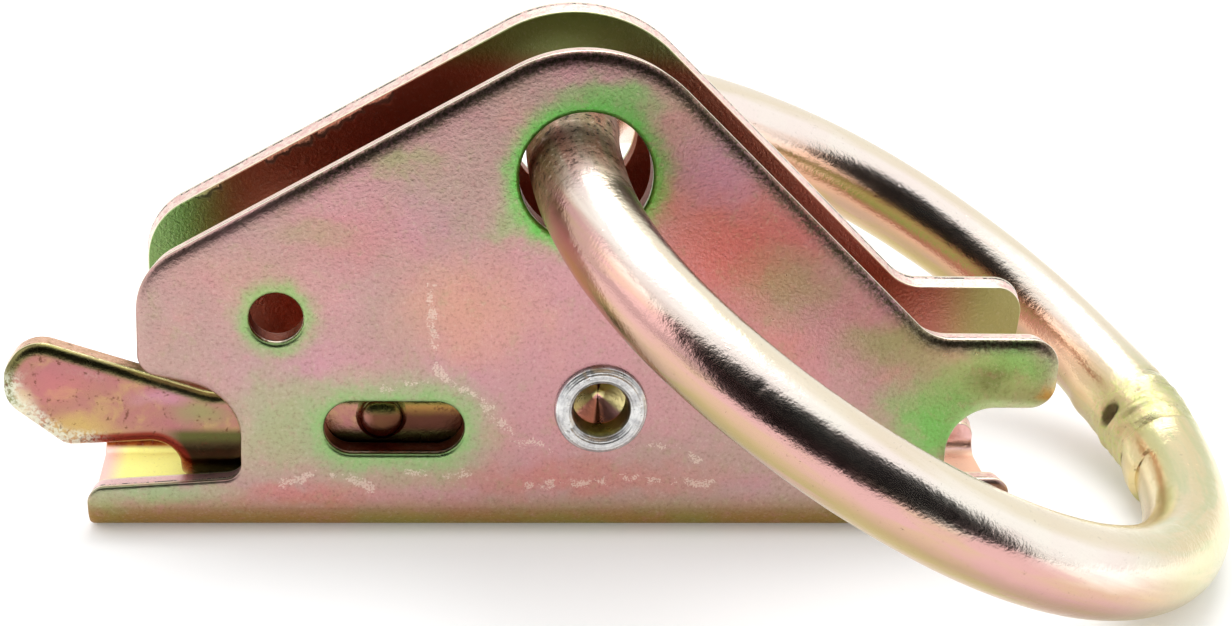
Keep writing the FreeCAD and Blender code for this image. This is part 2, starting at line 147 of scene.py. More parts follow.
# Head behind: radius and height over the cheek
RIVET_HEAD = ((2.8, 0.0), (4.42, 0.0), (4.5, 0.12), (4.45, 0.35), (4.1, 0.72), (3.3, 1.05), (2.2, 1.22),
              (0.0, 1.25))
# Nicks of the rim: angle in radians and depth
RIM_NICKS = ((1.95, 0.1), (-2.6, 0.07), (0.15, 0.05))

# Spring, as in the model
SPRING_ENDS_X = (-27.85, -1.0)
SPRING_AXIS_Z = 8.9
SPRING_RADIUS = 1.95
SPRING_WIRE = 0.35
SPRING_TURNS = 8.0

# Ring, as in the model
RING_RADIUS = 28.1
RING_BAR = 3.3
RING_SKEW = 6.9
RING_CENTRE_Y = -2.54
RING_REST_X = -1.039
RING_REST_Z = 29.8
# The bar is worn flat where it stands
RING_LOWEST = 0.03
# Small departures of the bent bar from a circle: angle in degrees, width, outwards in mm
RING_BOWS = ((116.0, 24.0, -0.75), (188.0, 18.0, -0.55), (45.0, 26.0, 0.18), (4.0, 12.0, 0.3),
             (282.0, 24.0, 0.2))
# Where the bar is a little thicker: angle, width, extra radius in mm
BAR_SWELLS = ((78.0, 50.0, 0.22), (18.0, 11.0, 0.34), (180.0, 18.0, 0.2), (284.0, 26.0, 0.12))
# Middle and half length of the ring's weld in degrees
WELD_MIDDLE = 13.5
WELD_HALF = 6.0
# Marks of the ring: angle and width in degrees, height in mm, place round the bar and its spread
WELD_MARKS = (
    (7.7, 0.45, -0.26, 2.45, 0.7),
    (15.5, 1.2, -0.8, 3.28, 0.26),
    (7.0, 0.7, -0.5, 3.84, 0.2),
    (12.5, 1.4, 0.2, 2.65, 0.3),
    (18.0, 1.3, 0.22, 1.75, 0.26),
    (20.6, 0.5, -0.2, 1.6, 0.3),
    (26.0, 2.4, 0.2, 4.0, 0.6),
    (2.0, 5.0, 0.55, 3.9, 0.8),
    (240.6, 0.5, -0.07, 0.5, 0.16),
    (242.4, 0.4, -0.06, 0.44, 0.12),
    (244.6, 0.5, -0.05, 0.4, 0.1),
    (280.0, 0.5, -0.07, 0.0, 0.12),
    (293.0, 0.5, -0.07, 5.45, 0.14),
    (66.0, 0.6, -0.06, 2.75, 0.12),
)

# Fineness of the meshes: steps in mm, and parts of a roll and of a cut wall
NET_STEP = 0.7
OUTLINE_STEP = 0.45
NET_CLEARANCE = 0.35 * NET_STEP
ROLL_PARTS = 6
CUT_PARTS = 3

SQUARE = ((-1, -1), (1, -1), (1, 1), (-1, 1))

# White that the floor adds for the camera and in reflections, and half its size
FLOOR_LIFT = 0.16
FLOOR_HALF = 4000.0
WHITE = (255, 255, 255)
FLOOR_COLOR = (247, 247, 247)
FLAG_COLOR = (25.46, 25.46, 25.46)
# Dark flags behind the camera: name, near and far y, upper z in mm, all standing at one height
FLAGS = (("flag_low", -190.0, -700.0, 1.0), ("flag_high", -700.0, -500.0, 900.0))
FLAG_FOOT = 1.0
FLAG_HALF = 900.0


def tone(color):
    """Linear colour from red, green and blue of 0 to 255 as a screen shows them."""
    shares = [value / 255.0 for value in color]
    return [s / 12.92 if s <= 0.04045 else ((s + 0.055) / 1.055) ** 2.4 for s in shares] + [1.0]


# Outlines

def fillet_path(corners, step):
    """Closed outline through corners (u, v, radius), arcs and runs cut into short steps."""
    points = []
    count = len(corners)
    for index in range(count):
        here = np.array(corners[index][:2], float)
        radius = corners[index][2]
        back = np.array(corners[index - 1][:2], float) - here
        ahead = np.array(corners[(index + 1) % count][:2], float) - here
        back /= np.linalg.norm(back)
        ahead /= np.linalg.norm(ahead)
        if radius <= 0:
            points.append(here)
            continue
        half = math.acos(max(-1.0, min(1.0, float(back @ ahead)))) / 2
        centre = here + (back + ahead) / np.linalg.norm(back + ahead) * radius / math.sin(half)
        first = here + back * radius / math.tan(half) - centre
        last = here + ahead * radius / math.tan(half) - centre
        start = math.atan2(first[1], first[0])
        sweep = math.atan2(last[1], last[0]) - start
        sweep = (sweep + math.pi) % (2 * math.pi) - math.pi
        parts = max(3, int(abs(sweep) * radius / (0.5 * step)) + 1)
        for part in range(parts + 1):
            angle = start + sweep * part / parts
            points.append(centre + radius * np.array([math.cos(angle), math.sin(angle)]))
    return cut_runs(points, step, True)


def cut_runs(points, step, closed):
    """The same outline with no run longer than step."""
    out = []
    count = len(points)
    for index in range(count if closed else count - 1):
        here = np.array(points[index], float)
        after = np.array(points[(index + 1) % count], float)
        length = np.linalg.norm(after - here)
        if length < 1e-6:
            continue
        parts = max(1, int(math.ceil(length / step - 1e-6)))
        for part in range(parts):
            out.append(here + (after - here) * part / parts)
    if not closed:
        out.append(np.array(points[-1], float))
    return np.array(out)


def circle(u, v, radius, count=64):
    angles = np.arange(count) * 2 * math.pi / count
    return np.stack([u + radius * np.cos(angles), v + radius * np.sin(angles)], 1)


def signed_area(points):
    after = np.roll(points, -1, 0)
    return 0.5 * float(np.sum(points[:, 0] * after[:, 1] - after[:, 0] * points[:, 1]))


def inset(points, distance):
    """Outline moved to its left by distance: inwards if it runs counter-clockwise."""
    back = points - np.roll(points, 1, 0)
    ahead = np.roll(points, -1, 0) - points
    back /= np.linalg.norm(back, axis=1)[:, None]
    ahead /= np.linalg.norm(ahead, axis=1)[:, None]
    along = back + ahead
    along /= np.linalg.norm(along, axis=1)[:, None]
    normal = np.stack([-along[:, 1], along[:, 0]], 1)
    square = np.stack([-ahead[:, 1], ahead[:, 0]], 1)
    return points + normal * (distance / np.maximum(0.5, np.sum(normal * square, 1)))[:, None]


def inside(points, loops):
    """True for each point that an odd number of the loops holds."""
    found = np.zeros(len(points), bool)
    for loop in loops:
        after = np.roll(loop, -1, 0)
        for (u0, v0), (u1, v1) in zip(loop, after):
            if v0 == v1:
                continue
            crosses = (v0 > points[:, 1]) != (v1 > points[:, 1])
            at = u0 + (points[:, 1] - v0) * (u1 - u0) / (v1 - v0)
            found ^= crosses & (points[:, 0] < at)
    return found


def distance_to(points, loop):
    """Distance from each point to the nearest run of a loop."""
    best = np.full(len(points), 1e9)
    after = np.roll(loop, -1, 0)
    for start, end in zip(loop, after):
        run = end - start
        share = np.clip(((points - start) @ run) / max(1e-12, float(run @ run)), 0, 1)
        best = np.minimum(best, np.linalg.norm(points - start - share[:, None] * run, axis=1))
    return best


# Meshes

def store(name, points, faces, body, material, replaces=(), sharp=32.0, values=None):
    """Mesh object from points in millimetres, joined at shared places, on its CAD body."""
    mesh = bpy.data.meshes.new(name)
    mesh.from_pydata([tuple(p) for p in points], [], faces)
    for key, numbers in (values or {}).items():
        layer = mesh.attributes.new(key, "FLOAT", "POINT")
        layer.data.foreach_set("value", np.asarray(numbers, np.float32))
    work = bmesh.new()
    work.from_mesh(mesh)
    bmesh.ops.remove_doubles(work, verts=work.verts, dist=0.002)
    bmesh.ops.recalc_face_normals(work, faces=work.faces)
    limit = math.radians(sharp)
    for edge in work.edges:
        edge.smooth = not (edge.is_manifold and edge.calc_face_angle(0.0) > limit)
    for face in work.faces:
        face.smooth = True
    bmesh.ops.scale(work, vec=(MM, MM, MM), verts=work.verts)
    work.to_mesh(mesh)
    work.free()
    mesh.materials.append(material)
    piece = bpy.data.objects.new(name, mesh)
    bpy.context.scene.collection.objects.link(piece)
    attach(piece, body)
    if replaces:
        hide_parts(*replaces)
    return piece


def plain_edges(points):
    """Every edge keeps its whole roll."""
    return np.ones(len(points))


def quads(first, second, count):
    """Faces between two closed rows of points, given by the numbers of their first points."""
    return [(first + k, first + (k + 1) % count, second + (k + 1) % count, second + k)
            for k in range(count)]


def tube_quads(rows, count):
    """Faces along a tube of so many rows with count points in each."""
    return [face for row in range(rows - 1) for face in quads(row * count, (row + 1) * count, count)]


def filled(outline, bounds, rows):
    """Corners and triangles of the flat shape inside the bounds, with a regular net in it."""
    left = outline[:, 0].min()
    steps = np.arange(int((outline[:, 0].max() - left) / NET_STEP)) * NET_STEP
    net = [np.stack([left + 0.5 * NET_STEP * (number % 2) + steps, np.full(len(steps), row)], 1)
           for number, row in enumerate(rows)]
    net = np.concatenate(net)
    net = net[inside(net, bounds)]
    clear = np.min([distance_to(net, loop) for loop in bounds], 0)
    flat = np.concatenate(bounds + [net[clear > NET_CLEARANCE]])
    lines = []
    for loop in bounds:
        lines += [(face[0], face[1]) for face in quads(len(lines), 0, len(loop))]
    made = geometry.delaunay_2d_cdt([Vector(p) for p in flat], lines, [], 0, 1e-7)
    corners = np.array([tuple(v) for v in made[0]])
    triangles = np.array([tuple(f) for f in made[2]])
    return corners, triangles[inside(corners[triangles].mean(1), bounds)]


def edge_profile(reach, drop, fall, thickness):
    """Reach and depth along a cut edge: its roll, the raw wall that falls back, and a small burr."""
    profile = []
    for part in range(ROLL_PARTS + 1):
        angle = 0.5 * math.pi * part / ROLL_PARTS
        profile.append((reach * (1 - math.sin(angle)), drop * (1 - math.cos(angle))))
    for part in range(1, CUT_PARTS):
        share = part / CUT_PARTS
        profile.append((fall * share, drop + (thickness - drop - BURR) * share))
    return profile + [(fall, thickness - BURR), (fall + BURR, thickness)]


def sheet_faces(loops, rows, thickness, rolls, place, taper=0.0, roll_share=plain_edges):
    """Points, faces and values of a bent sheet with rolled cut edges.

    loops are the outline and its holes on the outer face, rolls their edge rounds,
    rows the levels of the inner net, and place(u, v, depth) bends the flat sheet.
    roll_share gives the part of the roll that is left at each place of an edge.
    """
    outline = loops[0]
    points = []
    faces = []
    depths = []
    edges = []

    def add(flat, depth):
        start = len(points)
        points.extend(place(flat[:, 0], flat[:, 1], depth))
        depths.extend(np.broadcast_to(depth / thickness, len(flat)).tolist())
        edges.extend(distance_to(flat, outline))
        return start

    rings = []
    for loop, roll in zip(loops, rolls):
        ring = loop if (signed_area(loop) > 0) == (loop is outline) else loop[::-1]
        share = roll_share(place(ring[:, 0], ring[:, 1], 0.0))
        rings.append((ring, roll[0] * share, roll[1] * share, taper if loop is outline else 0.0))

    outer_bounds = [inset(ring, reach) for ring, reach, drop, fall in rings]
    inner_bounds = [inset(ring, BURR + fall) for ring, reach, drop, fall in rings]
    for bounds, depth, way in ((outer_bounds, 0.0, 1), (inner_bounds, thickness, -1)):
        corners, triangles = filled(outline, bounds, rows)
        base = add(corners, depth)
        faces += [tuple(int(k) + base for k in triangle) for triangle in triangles[:, ::way]]
    for ring, reach, drop, fall in rings:
        profile = edge_profile(reach, drop, fall, thickness)
        starts = [add(inset(ring, away), depth) for away, depth in profile]
        for first, second in zip(starts, starts[1:]):
            faces += quads(first, second, len(ring))
    return points, faces, {"depth": depths, "edge": edges}


def channel_place(u, v, depth):
    """Folds the flat channel sheet: v runs over the web, round the bends and up the cheeks."""
    web = CHANNEL_HALF_WIDTH - CHANNEL_BEND
    side = np.sign(v)
    along = np.abs(v)
    turn = np.clip((along - web) / CHANNEL_BEND, 0, math.pi / 2)
    rise = np.maximum(0, along - web - CHANNEL_BEND * math.pi / 2)
    radius = CHANNEL_BEND - depth
    y = np.where(along <= web, along, web + radius * np.sin(turn))
    z = CHANNEL_BEND - radius * np.cos(turn) + rise
    return np.stack([u, side * y, z], 1)


def channel_level(z):
    """Flat v of a height z on the outer face of a cheek."""
    web = CHANNEL_HALF_WIDTH - CHANNEL_BEND
    z = np.asarray(z, float)
    turn = np.arccos(np.clip(1 - z / CHANNEL_BEND, -1, 1))
    high = web + CHANNEL_BEND * math.pi / 2 + z - CHANNEL_BEND
    return np.where(z < CHANNEL_BEND, web + CHANNEL_BEND * turn, high)


def jaw_rolls(points):
    """The jaw's edges are nearly sharp."""
    low = np.clip((9.0 - points[:, 2]) / 2.0, 0.0, 1.0)
    left = np.clip((-19.0 - points[:, 0]) / 3.0, 0.0, 1.0)
    return 1.0 - JAW_ROLL_LOSS * low * left


def cheek_outline():
    """Side view of a cheek from the lower left over the top to the lower right."""
    left = math.radians(LEFT_SLOPE)
    right = math.radians(RIGHT_SLOPE)
    left_x = APEX_X - APEX_ROUND * math.sin(left)
    left_z = APEX_Z + APEX_ROUND * math.cos(left)
    right_x = APEX_X + APEX_ROUND * math.sin(right)
    right_z = APEX_Z + APEX_ROUND * math.cos(right)
    rise = right_z - left_z + left_x * math.tan(left) + right_x * math.tan(right)
    top_x = rise / (math.tan(left) + math.tan(right))
    top_z = left_z + (top_x - left_x) * math.tan(left)
    shoulder = left_z + (LEFT_EDGE_X - left_x) * math.tan(left)
    valley = right_x + (right_z - NOSE_TOP_Z) / math.tan(right)
    drop = (LATCH_NOTCH_X - LEFT_EDGE_X) * math.tan(math.radians(LATCH_NOTCH_SLOPE))
    path = fillet_path([
        (JAW_TIP_X, 0.0, 0.0),
        (JAW_TIP_X, JAW_TOP_Z, 1.3),
        (LATCH_NOTCH_X, JAW_BACK_Z, 1.3),
        (LATCH_NOTCH_X, LATCH_NOTCH_TOP_Z, 4.8),
        (LEFT_EDGE_X, LATCH_NOTCH_TOP_Z + drop, 1.7),
        (LEFT_EDGE_X, shoulder, 5.2),
        (top_x, top_z, APEX_ROUND),
        (valley, NOSE_TOP_Z, 3.7),
        (NOSE_TIP_X, NOSE_TOP_Z, 2.3),
        (NOSE_TIP_X, NOSE_BOTTOM_Z, 2.0),
        (RAIL_NOTCH_X, NOSE_BOTTOM_Z, 3.6),
        (RAIL_NOTCH_X, HOOK_TOP_Z, 1.3),
        (HOOK_TIP_X, HOOK_TOP_Z, 1.4),
        (HOOK_TIP_X, 0.0, 0.0),
    ], OUTLINE_STEP)
    keep = path[:, 1] > 1e-6
    first = int(np.argmax(keep))
    path = path[first:][path[first:, 1] > 1e-6]
    return np.concatenate([[[JAW_TIP_X, 0.0]], path, [[HOOK_TIP_X, 0.0]]])


def folded_outline(back, front, level):
    """Flat outline of a folded sheet from the side views of its back and front flanges."""
    up = np.stack([back[:, 0], level(back[:, 1])], 1)
    down = np.stack([front[:, 0], -level(front[:, 1])], 1)[::-1]
    return cut_runs(list(up) + list(down), OUTLINE_STEP, True)


def flat_rows(top, fine_to, fine, coarse):
    """Levels of a net, finer where the sheet bends."""
    half = list(np.arange(fine / 2, fine_to, fine))
    half += list(np.arange(half[-1] + coarse, top, coarse))
    return np.array([-v for v in half[::-1]] + half)


def make_channel(material):
    front = cheek_outline()
    grow = np.clip((front[:, 1] - BACK_EXTRA_Z) / 4.0, 0, 1)[:, None]
    back = front + (inset(front, BACK_EXTRA) - front) * grow
    outline = folded_outline(back, front, channel_level)
    loops = [outline]
    rolls = [EDGE_ROLL]
    for side in (1, -1):
        for x, z, radius in (RING_HOLE, PILOT_HOLE, RIVET_HOLE):
            loops.append(circle(x, side * float(channel_level(z)), radius, 96 if radius > 4 else 64))
            rolls.append(HOLE_ROLL)
        left, right, z, half = WINDOW
        v = side * float(channel_level(z))
        slot = fillet_path([
            (left, v - half, half), (left, v + half, half),
            (right, v + half, half), (right, v - half, half)], 0.3)
        loops.append(slot)
        rolls.append(HOLE_ROLL)
    rows = flat_rows(outline[:, 1].max(), 9.2, 0.4, NET_STEP)
    points, faces, values = sheet_faces(loops, rows, CHANNEL_SHEET, rolls, channel_place, TAPER,
                                        jaw_rolls)
    return store("channel_dressed", points, faces, "channel", material,
                 ("channel",), values=values)


def latch_place(u, v, depth):
    """Bends the flat latch sheet round its full round bottom."""
    side = np.sign(v)
    along = np.abs(v)
    turn = np.minimum(along / LATCH_HALF_WIDTH, math.pi / 2)
    rise = np.maximum(0, along - LATCH_HALF_WIDTH * math.pi / 2)
    radius = LATCH_HALF_WIDTH - depth
    return np.stack(
        [u, side * radius * np.sin(turn), LATCH_AXIS_Z - radius * np.cos(turn) + rise], 1)


def latch_level(z):
    z = np.asarray(z, float)
    turn = np.arccos(np.clip((LATCH_AXIS_Z - z) / LATCH_HALF_WIDTH, 0, 1))
    return LATCH_HALF_WIDTH * turn + np.maximum(0, z - LATCH_AXIS_Z)


def latch_flange(with_tab):
    """Side view of a latch flange from its lower left over the top to its lower right."""
    low = LATCH_AXIS_Z - LATCH_HALF_WIDTH
    corners = [(LOCK_FACE_X, low, 0.0)]
    if with_tab:
        rise = (TAB_SLOPE_X - TAB_TOP_X) * math.tan(math.radians(TAB_SLOPE))
        corners += TAB_CORNERS
        corners += [(TAB_TOP_X, LATCH_TOP_Z + rise, 2.5), (TAB_SLOPE_X, LATCH_TOP_Z, 4.0)]
    else:
        corners.append((LOCK_FACE_X, LATCH_TOP_Z, 1.2))
    corners += [(LATCH_END_X, LATCH_TOP_Z, 1.2), (LATCH_END_X, low, 0.0)]
    path = fillet_path(corners, OUTLINE_STEP)
    first, last = [int(np.argmax(np.linalg.norm(path - [x, low], axis=1) < 1e-6))
                   for x in (LOCK_FACE_X, LATCH_END_X)]
    return np.roll(path, -first, 0)[:(last - first) % len(path) + 1]


def make_button(name, side, material):
    """Low dome on a flange of the latch, which runs in the window of the cheek."""
    x, z, radius, height = BUTTON
    face = LATCH_HALF_WIDTH
    profile = [(0.0, face + BUTTON_FLARE[0][1])]
    profile += [(radius + wider, face + rise) for wider, rise in BUTTON_FLARE]
    for part in range(9):
        angle = math.radians(DOME_ANGLE - DOME_ANGLE * part / 8)
        rise = (height - DOME_FOOT) * (math.cos(angle) - DOME_COSINE) / (1 - DOME_COSINE)
        profile.append((radius * math.sin(angle) / math.sin(math.radians(DOME_ANGLE)),
                        face + DOME_FOOT + rise))
    lathe(name, profile, x, z, side, "latch", material)


def make_latch(material):
    outline = folded_outline(latch_flange(False), latch_flange(True), latch_level)
    rows = flat_rows(max(outline[:, 1].max(), -outline[:, 1].min()), 7.0, 0.5, NET_STEP)
    points, faces, values = sheet_faces([outline], rows, LATCH_SHEET, [LATCH_ROLL], latch_place)
    store("latch_dressed", points, faces, "latch", material, ("latch",), values=values)
    make_button("latch_button_front", -1, material)
    make_button("latch_button_back", 1, material)
    points, faces = trough_flap()
    store("latch_spring_seat", points, faces, "latch", material)
    points, faces = rounded_bar(TONGUE_WIDTH, LOCK_FACE_X + 1.0, TONGUE_END_X, SPRING_AXIS_Z, 0.3)
    store("latch_spring_tongue", points, faces, "latch", material)


def trough_flap():
    """Seat flap across the trough, folded in from the back flange."""
    reach = LATCH_HALF_WIDTH - LATCH_SHEET - SEAT_GAP
    outline = fillet_path([
        (-reach, LATCH_TOP_Z, 0.3), (-reach, LATCH_AXIS_Z - reach, reach * 0.98),
        (reach, LATCH_AXIS_Z - reach, reach * 0.98), (reach, LATCH_AXIS_Z, 0.0),
        (LATCH_HALF_WIDTH - 0.4, LATCH_AXIS_Z, 0.3), (LATCH_HALF_WIDTH - 0.4, LATCH_TOP_Z, 0.3)],
        0.4)

    def place(u, v, depth):
        return np.stack([np.full(len(u), LOCK_FACE_X + 0.02) + depth, u, v], 1)

    rows = np.arange(outline[:, 1].min() + 0.3, outline[:, 1].max(), NET_STEP)
    return sheet_faces([outline], rows, LATCH_SHEET - 0.02, [(0.2, 0.2)], place)[:2]


def rounded_bar(width, start, end, z, corner):
    """Short square bar along X with round long edges and closed ends, the right one chamfered."""
    outline = fillet_path([(u * width / 2, z + v * width / 2, corner) for u, v in SQUARE], 0.4)
    points = []
    levels = [(start, 0.0), (end - 0.3, 0.0), (end - 0.1, 0.1), (end, 0.3)]
    for x, narrow in levels:
        ring = outline if narrow == 0 else inset(outline, narrow)
        points += [(x, p[0], p[1]) for p in ring]
    count = len(outline)
    faces = tube_quads(len(levels), count)
    faces.append(tuple(range(count)))
    faces.append(tuple(range(len(points) - count, len(points)))[::-1])
    return points, faces


def lathe(name, profile, x, z, side, body, material, replaces=(), count=72, shape=None):
    """Surface of revolution about a Y axis; profile holds (radius, distance along side)."""
    points = []
    for radius, reach in profile:
        for k in range(count):
            angle = 2 * math.pi * k / count
            r, y = shape(radius, reach, angle) if shape else (radius, reach)
            points.append((x + r * math.cos(angle), side * y, z + r * math.sin(angle)))
    faces = tube_quads(len(profile), count)
    return store(name, points, faces, body, material, replaces, sharp=40.0)


def rim_shape(radius, reach, angle):
    """Uneven rim of the rivet: a slow swell all round, and its nicks."""
    front = CHANNEL_HALF_WIDTH
    if reach < front - 0.3:
        return radius, reach
    swell = noise.noise(Vector((math.cos(angle) * 2.2, math.sin(angle) * 2.2, reach * 0.7))) * 0.035
    nick = 0.0
    for at, deep in RIM_NICKS:
        nick += deep * math.exp(-(((angle - at + math.pi) % (2 * math.pi) - math.pi) / 0.05) ** 2)
    lift = max(0.0, reach - front) / RIM_HEIGHT
    return radius + swell - nick * 0.3 * lift, reach - nick * lift + swell * 0.5 * lift


def make_rivet(material):
    """Hollow rivet: rolled rim in front, shank, low round head behind."""
    front = CHANNEL_HALF_WIDTH
    profile = list(RIVET_BORE)
    for part in range(9):
        angle = math.pi * part / 8
        profile.append((RIM_MIDDLE - RIM_HALF_WIDTH * math.cos(angle),
                        front + RIM_HEIGHT - RIM_ROUND + RIM_ROUND * math.sin(angle)))
    profile += [(radius, front + rise) for radius, rise in RIVET_STEP]
    profile += [(radius, -front - rise) for radius, rise in RIVET_HEAD]
    return lathe("rivet_dressed", profile, RIVET_HOLE[0], RIVET_HOLE[1], -1, "channel",
                 material, ("rivet",), 120, rim_shape)


def make_spring(material):
    """Coil between the seat flap and the rivet, taken off its body and baked in place."""
    start, end = SPRING_ENDS_X
    pitch = -(end - start) / (2 * math.pi * SPRING_TURNS)
    count = 420
    around = 14
    points = []
    for k in range(count + 1):
        share = k / count
        angle = 2 * math.pi * SPRING_TURNS * share
        x = end - SPRING_WIRE - (end - start - 2 * SPRING_WIRE) * share
        out = np.array([0.0, math.sin(angle), math.cos(angle)])
        along = np.array([pitch, SPRING_RADIUS * math.cos(angle), -SPRING_RADIUS * math.sin(angle)])
        along /= np.linalg.norm(along)
        side = np.cross(along, out)
        centre = np.array([x, 0.0, SPRING_AXIS_Z]) + out * SPRING_RADIUS
        for j in range(around):
            turn = 2 * math.pi * j / around
            points.append(centre + SPRING_WIRE * (out * math.cos(turn) + side * math.sin(turn)))
    faces = tube_quads(count + 1, around)
    faces.append(tuple(range(around)))
    faces.append(tuple(range(count * around, (count + 1) * around))[::-1])
    coil = store("spring_dressed", points, faces, "channel", material, ("spring",))
    coil.parent = None
    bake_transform(coil)
    return coil


def ring_frame():
    """Centre and axes of the leaning ring: out to the far side, across, and normal."""
    skew = math.radians(-RING_SKEW)
    square = math.sin(skew) ** 2
    reach = (RING_REST_Z - RING_BAR) / RING_RADIUS
    root = math.sqrt(reach ** 2 + square ** 2 - square * reach ** 2)
    lean = math.asin((reach - root) / square)
    centre = np.array([RING_REST_X + RING_RADIUS * math.cos(lean), RING_CENTRE_Y,
                       RING_REST_Z - RING_RADIUS * math.sin(lean)])
    normal = np.array([math.sin(lean) * math.cos(skew), math.sin(skew),
                       math.cos(lean) * math.cos(skew)])
    out = np.array([math.cos(lean), 0.0, -math.sin(lean)])
    return centre, out, np.cross(normal, out), normal


def bumps(angle, hills):
    """Sum of smooth hills (place, width, height) at an angle in degrees."""
    total = 0.0
    for at, width, height in hills:
        off = (angle - at + 180) % 360 - 180
        total += height * math.exp(-(off / width) ** 2)
    return total


def make_ring(material):
    centre, out, across, normal = ring_frame()
    count = 720
    around = 56
    points = []
    rise = []
    reach = []
    marks = []
    for k in range(count):
        degrees = 360.0 * k / count
        angle = math.radians(degrees)
        radial = out * math.cos(angle) + across * math.sin(angle)
        radius = RING_RADIUS + bumps(degrees, RING_BOWS)
        bar = RING_BAR + bumps(degrees, BAR_SWELLS)
        for j in range(around):
            turn = 2 * math.pi * j / around
            lift, mark = ring_surface(degrees, turn)
            r = bar + lift
            place = centre + radial * (radius + r * math.cos(turn)) + normal * r * math.sin(turn)
            place[2] = max(place[2], RING_LOWEST)
            points.append(place)
            rise.append(math.sin(turn))
            reach.append(math.cos(turn))
            marks.append(mark)
    faces = [face for k in range(count) for face in quads(k * around, (k + 1) % count * around, around)]
    return store("ring_dressed", points, faces, "ring", material, ("ring",),
                 values={"rise": rise, "reach": reach, "mark": marks})


def ring_surface(degrees, turn):
    """Height over the plain bar in mm, from the weld, its dents and the hammer marks,
    and how much painted shade a dent gets, from 0 to 1.
    """
    angle = math.radians(degrees)
    place = Vector((math.cos(angle) * 9, math.sin(angle) * 9 + math.sin(turn), math.cos(turn)))
    lift = 0.02 * noise.noise(place)
    weld = math.exp(-((degrees - WELD_MIDDLE) / WELD_HALF) ** 4)
    lumps = Vector((degrees * 0.7, math.cos(turn) * 2.9, math.sin(turn) * 2.9))
    lift += weld * (0.03 + 0.2 * noise.noise(lumps))
    mark = 0.0
    for at, wide, deep, side, spread in WELD_MARKS:
        off = (turn - side + math.pi) % (2 * math.pi) - math.pi
        part = deep * math.exp(-((degrees - at) / wide) ** 2 - (off / spread) ** 2)
        lift += part
        # Deeper dents get more painted shade.
        mark = max(mark, -part / 0.3)
    return lift, min(mark, 1.0)


# Materials

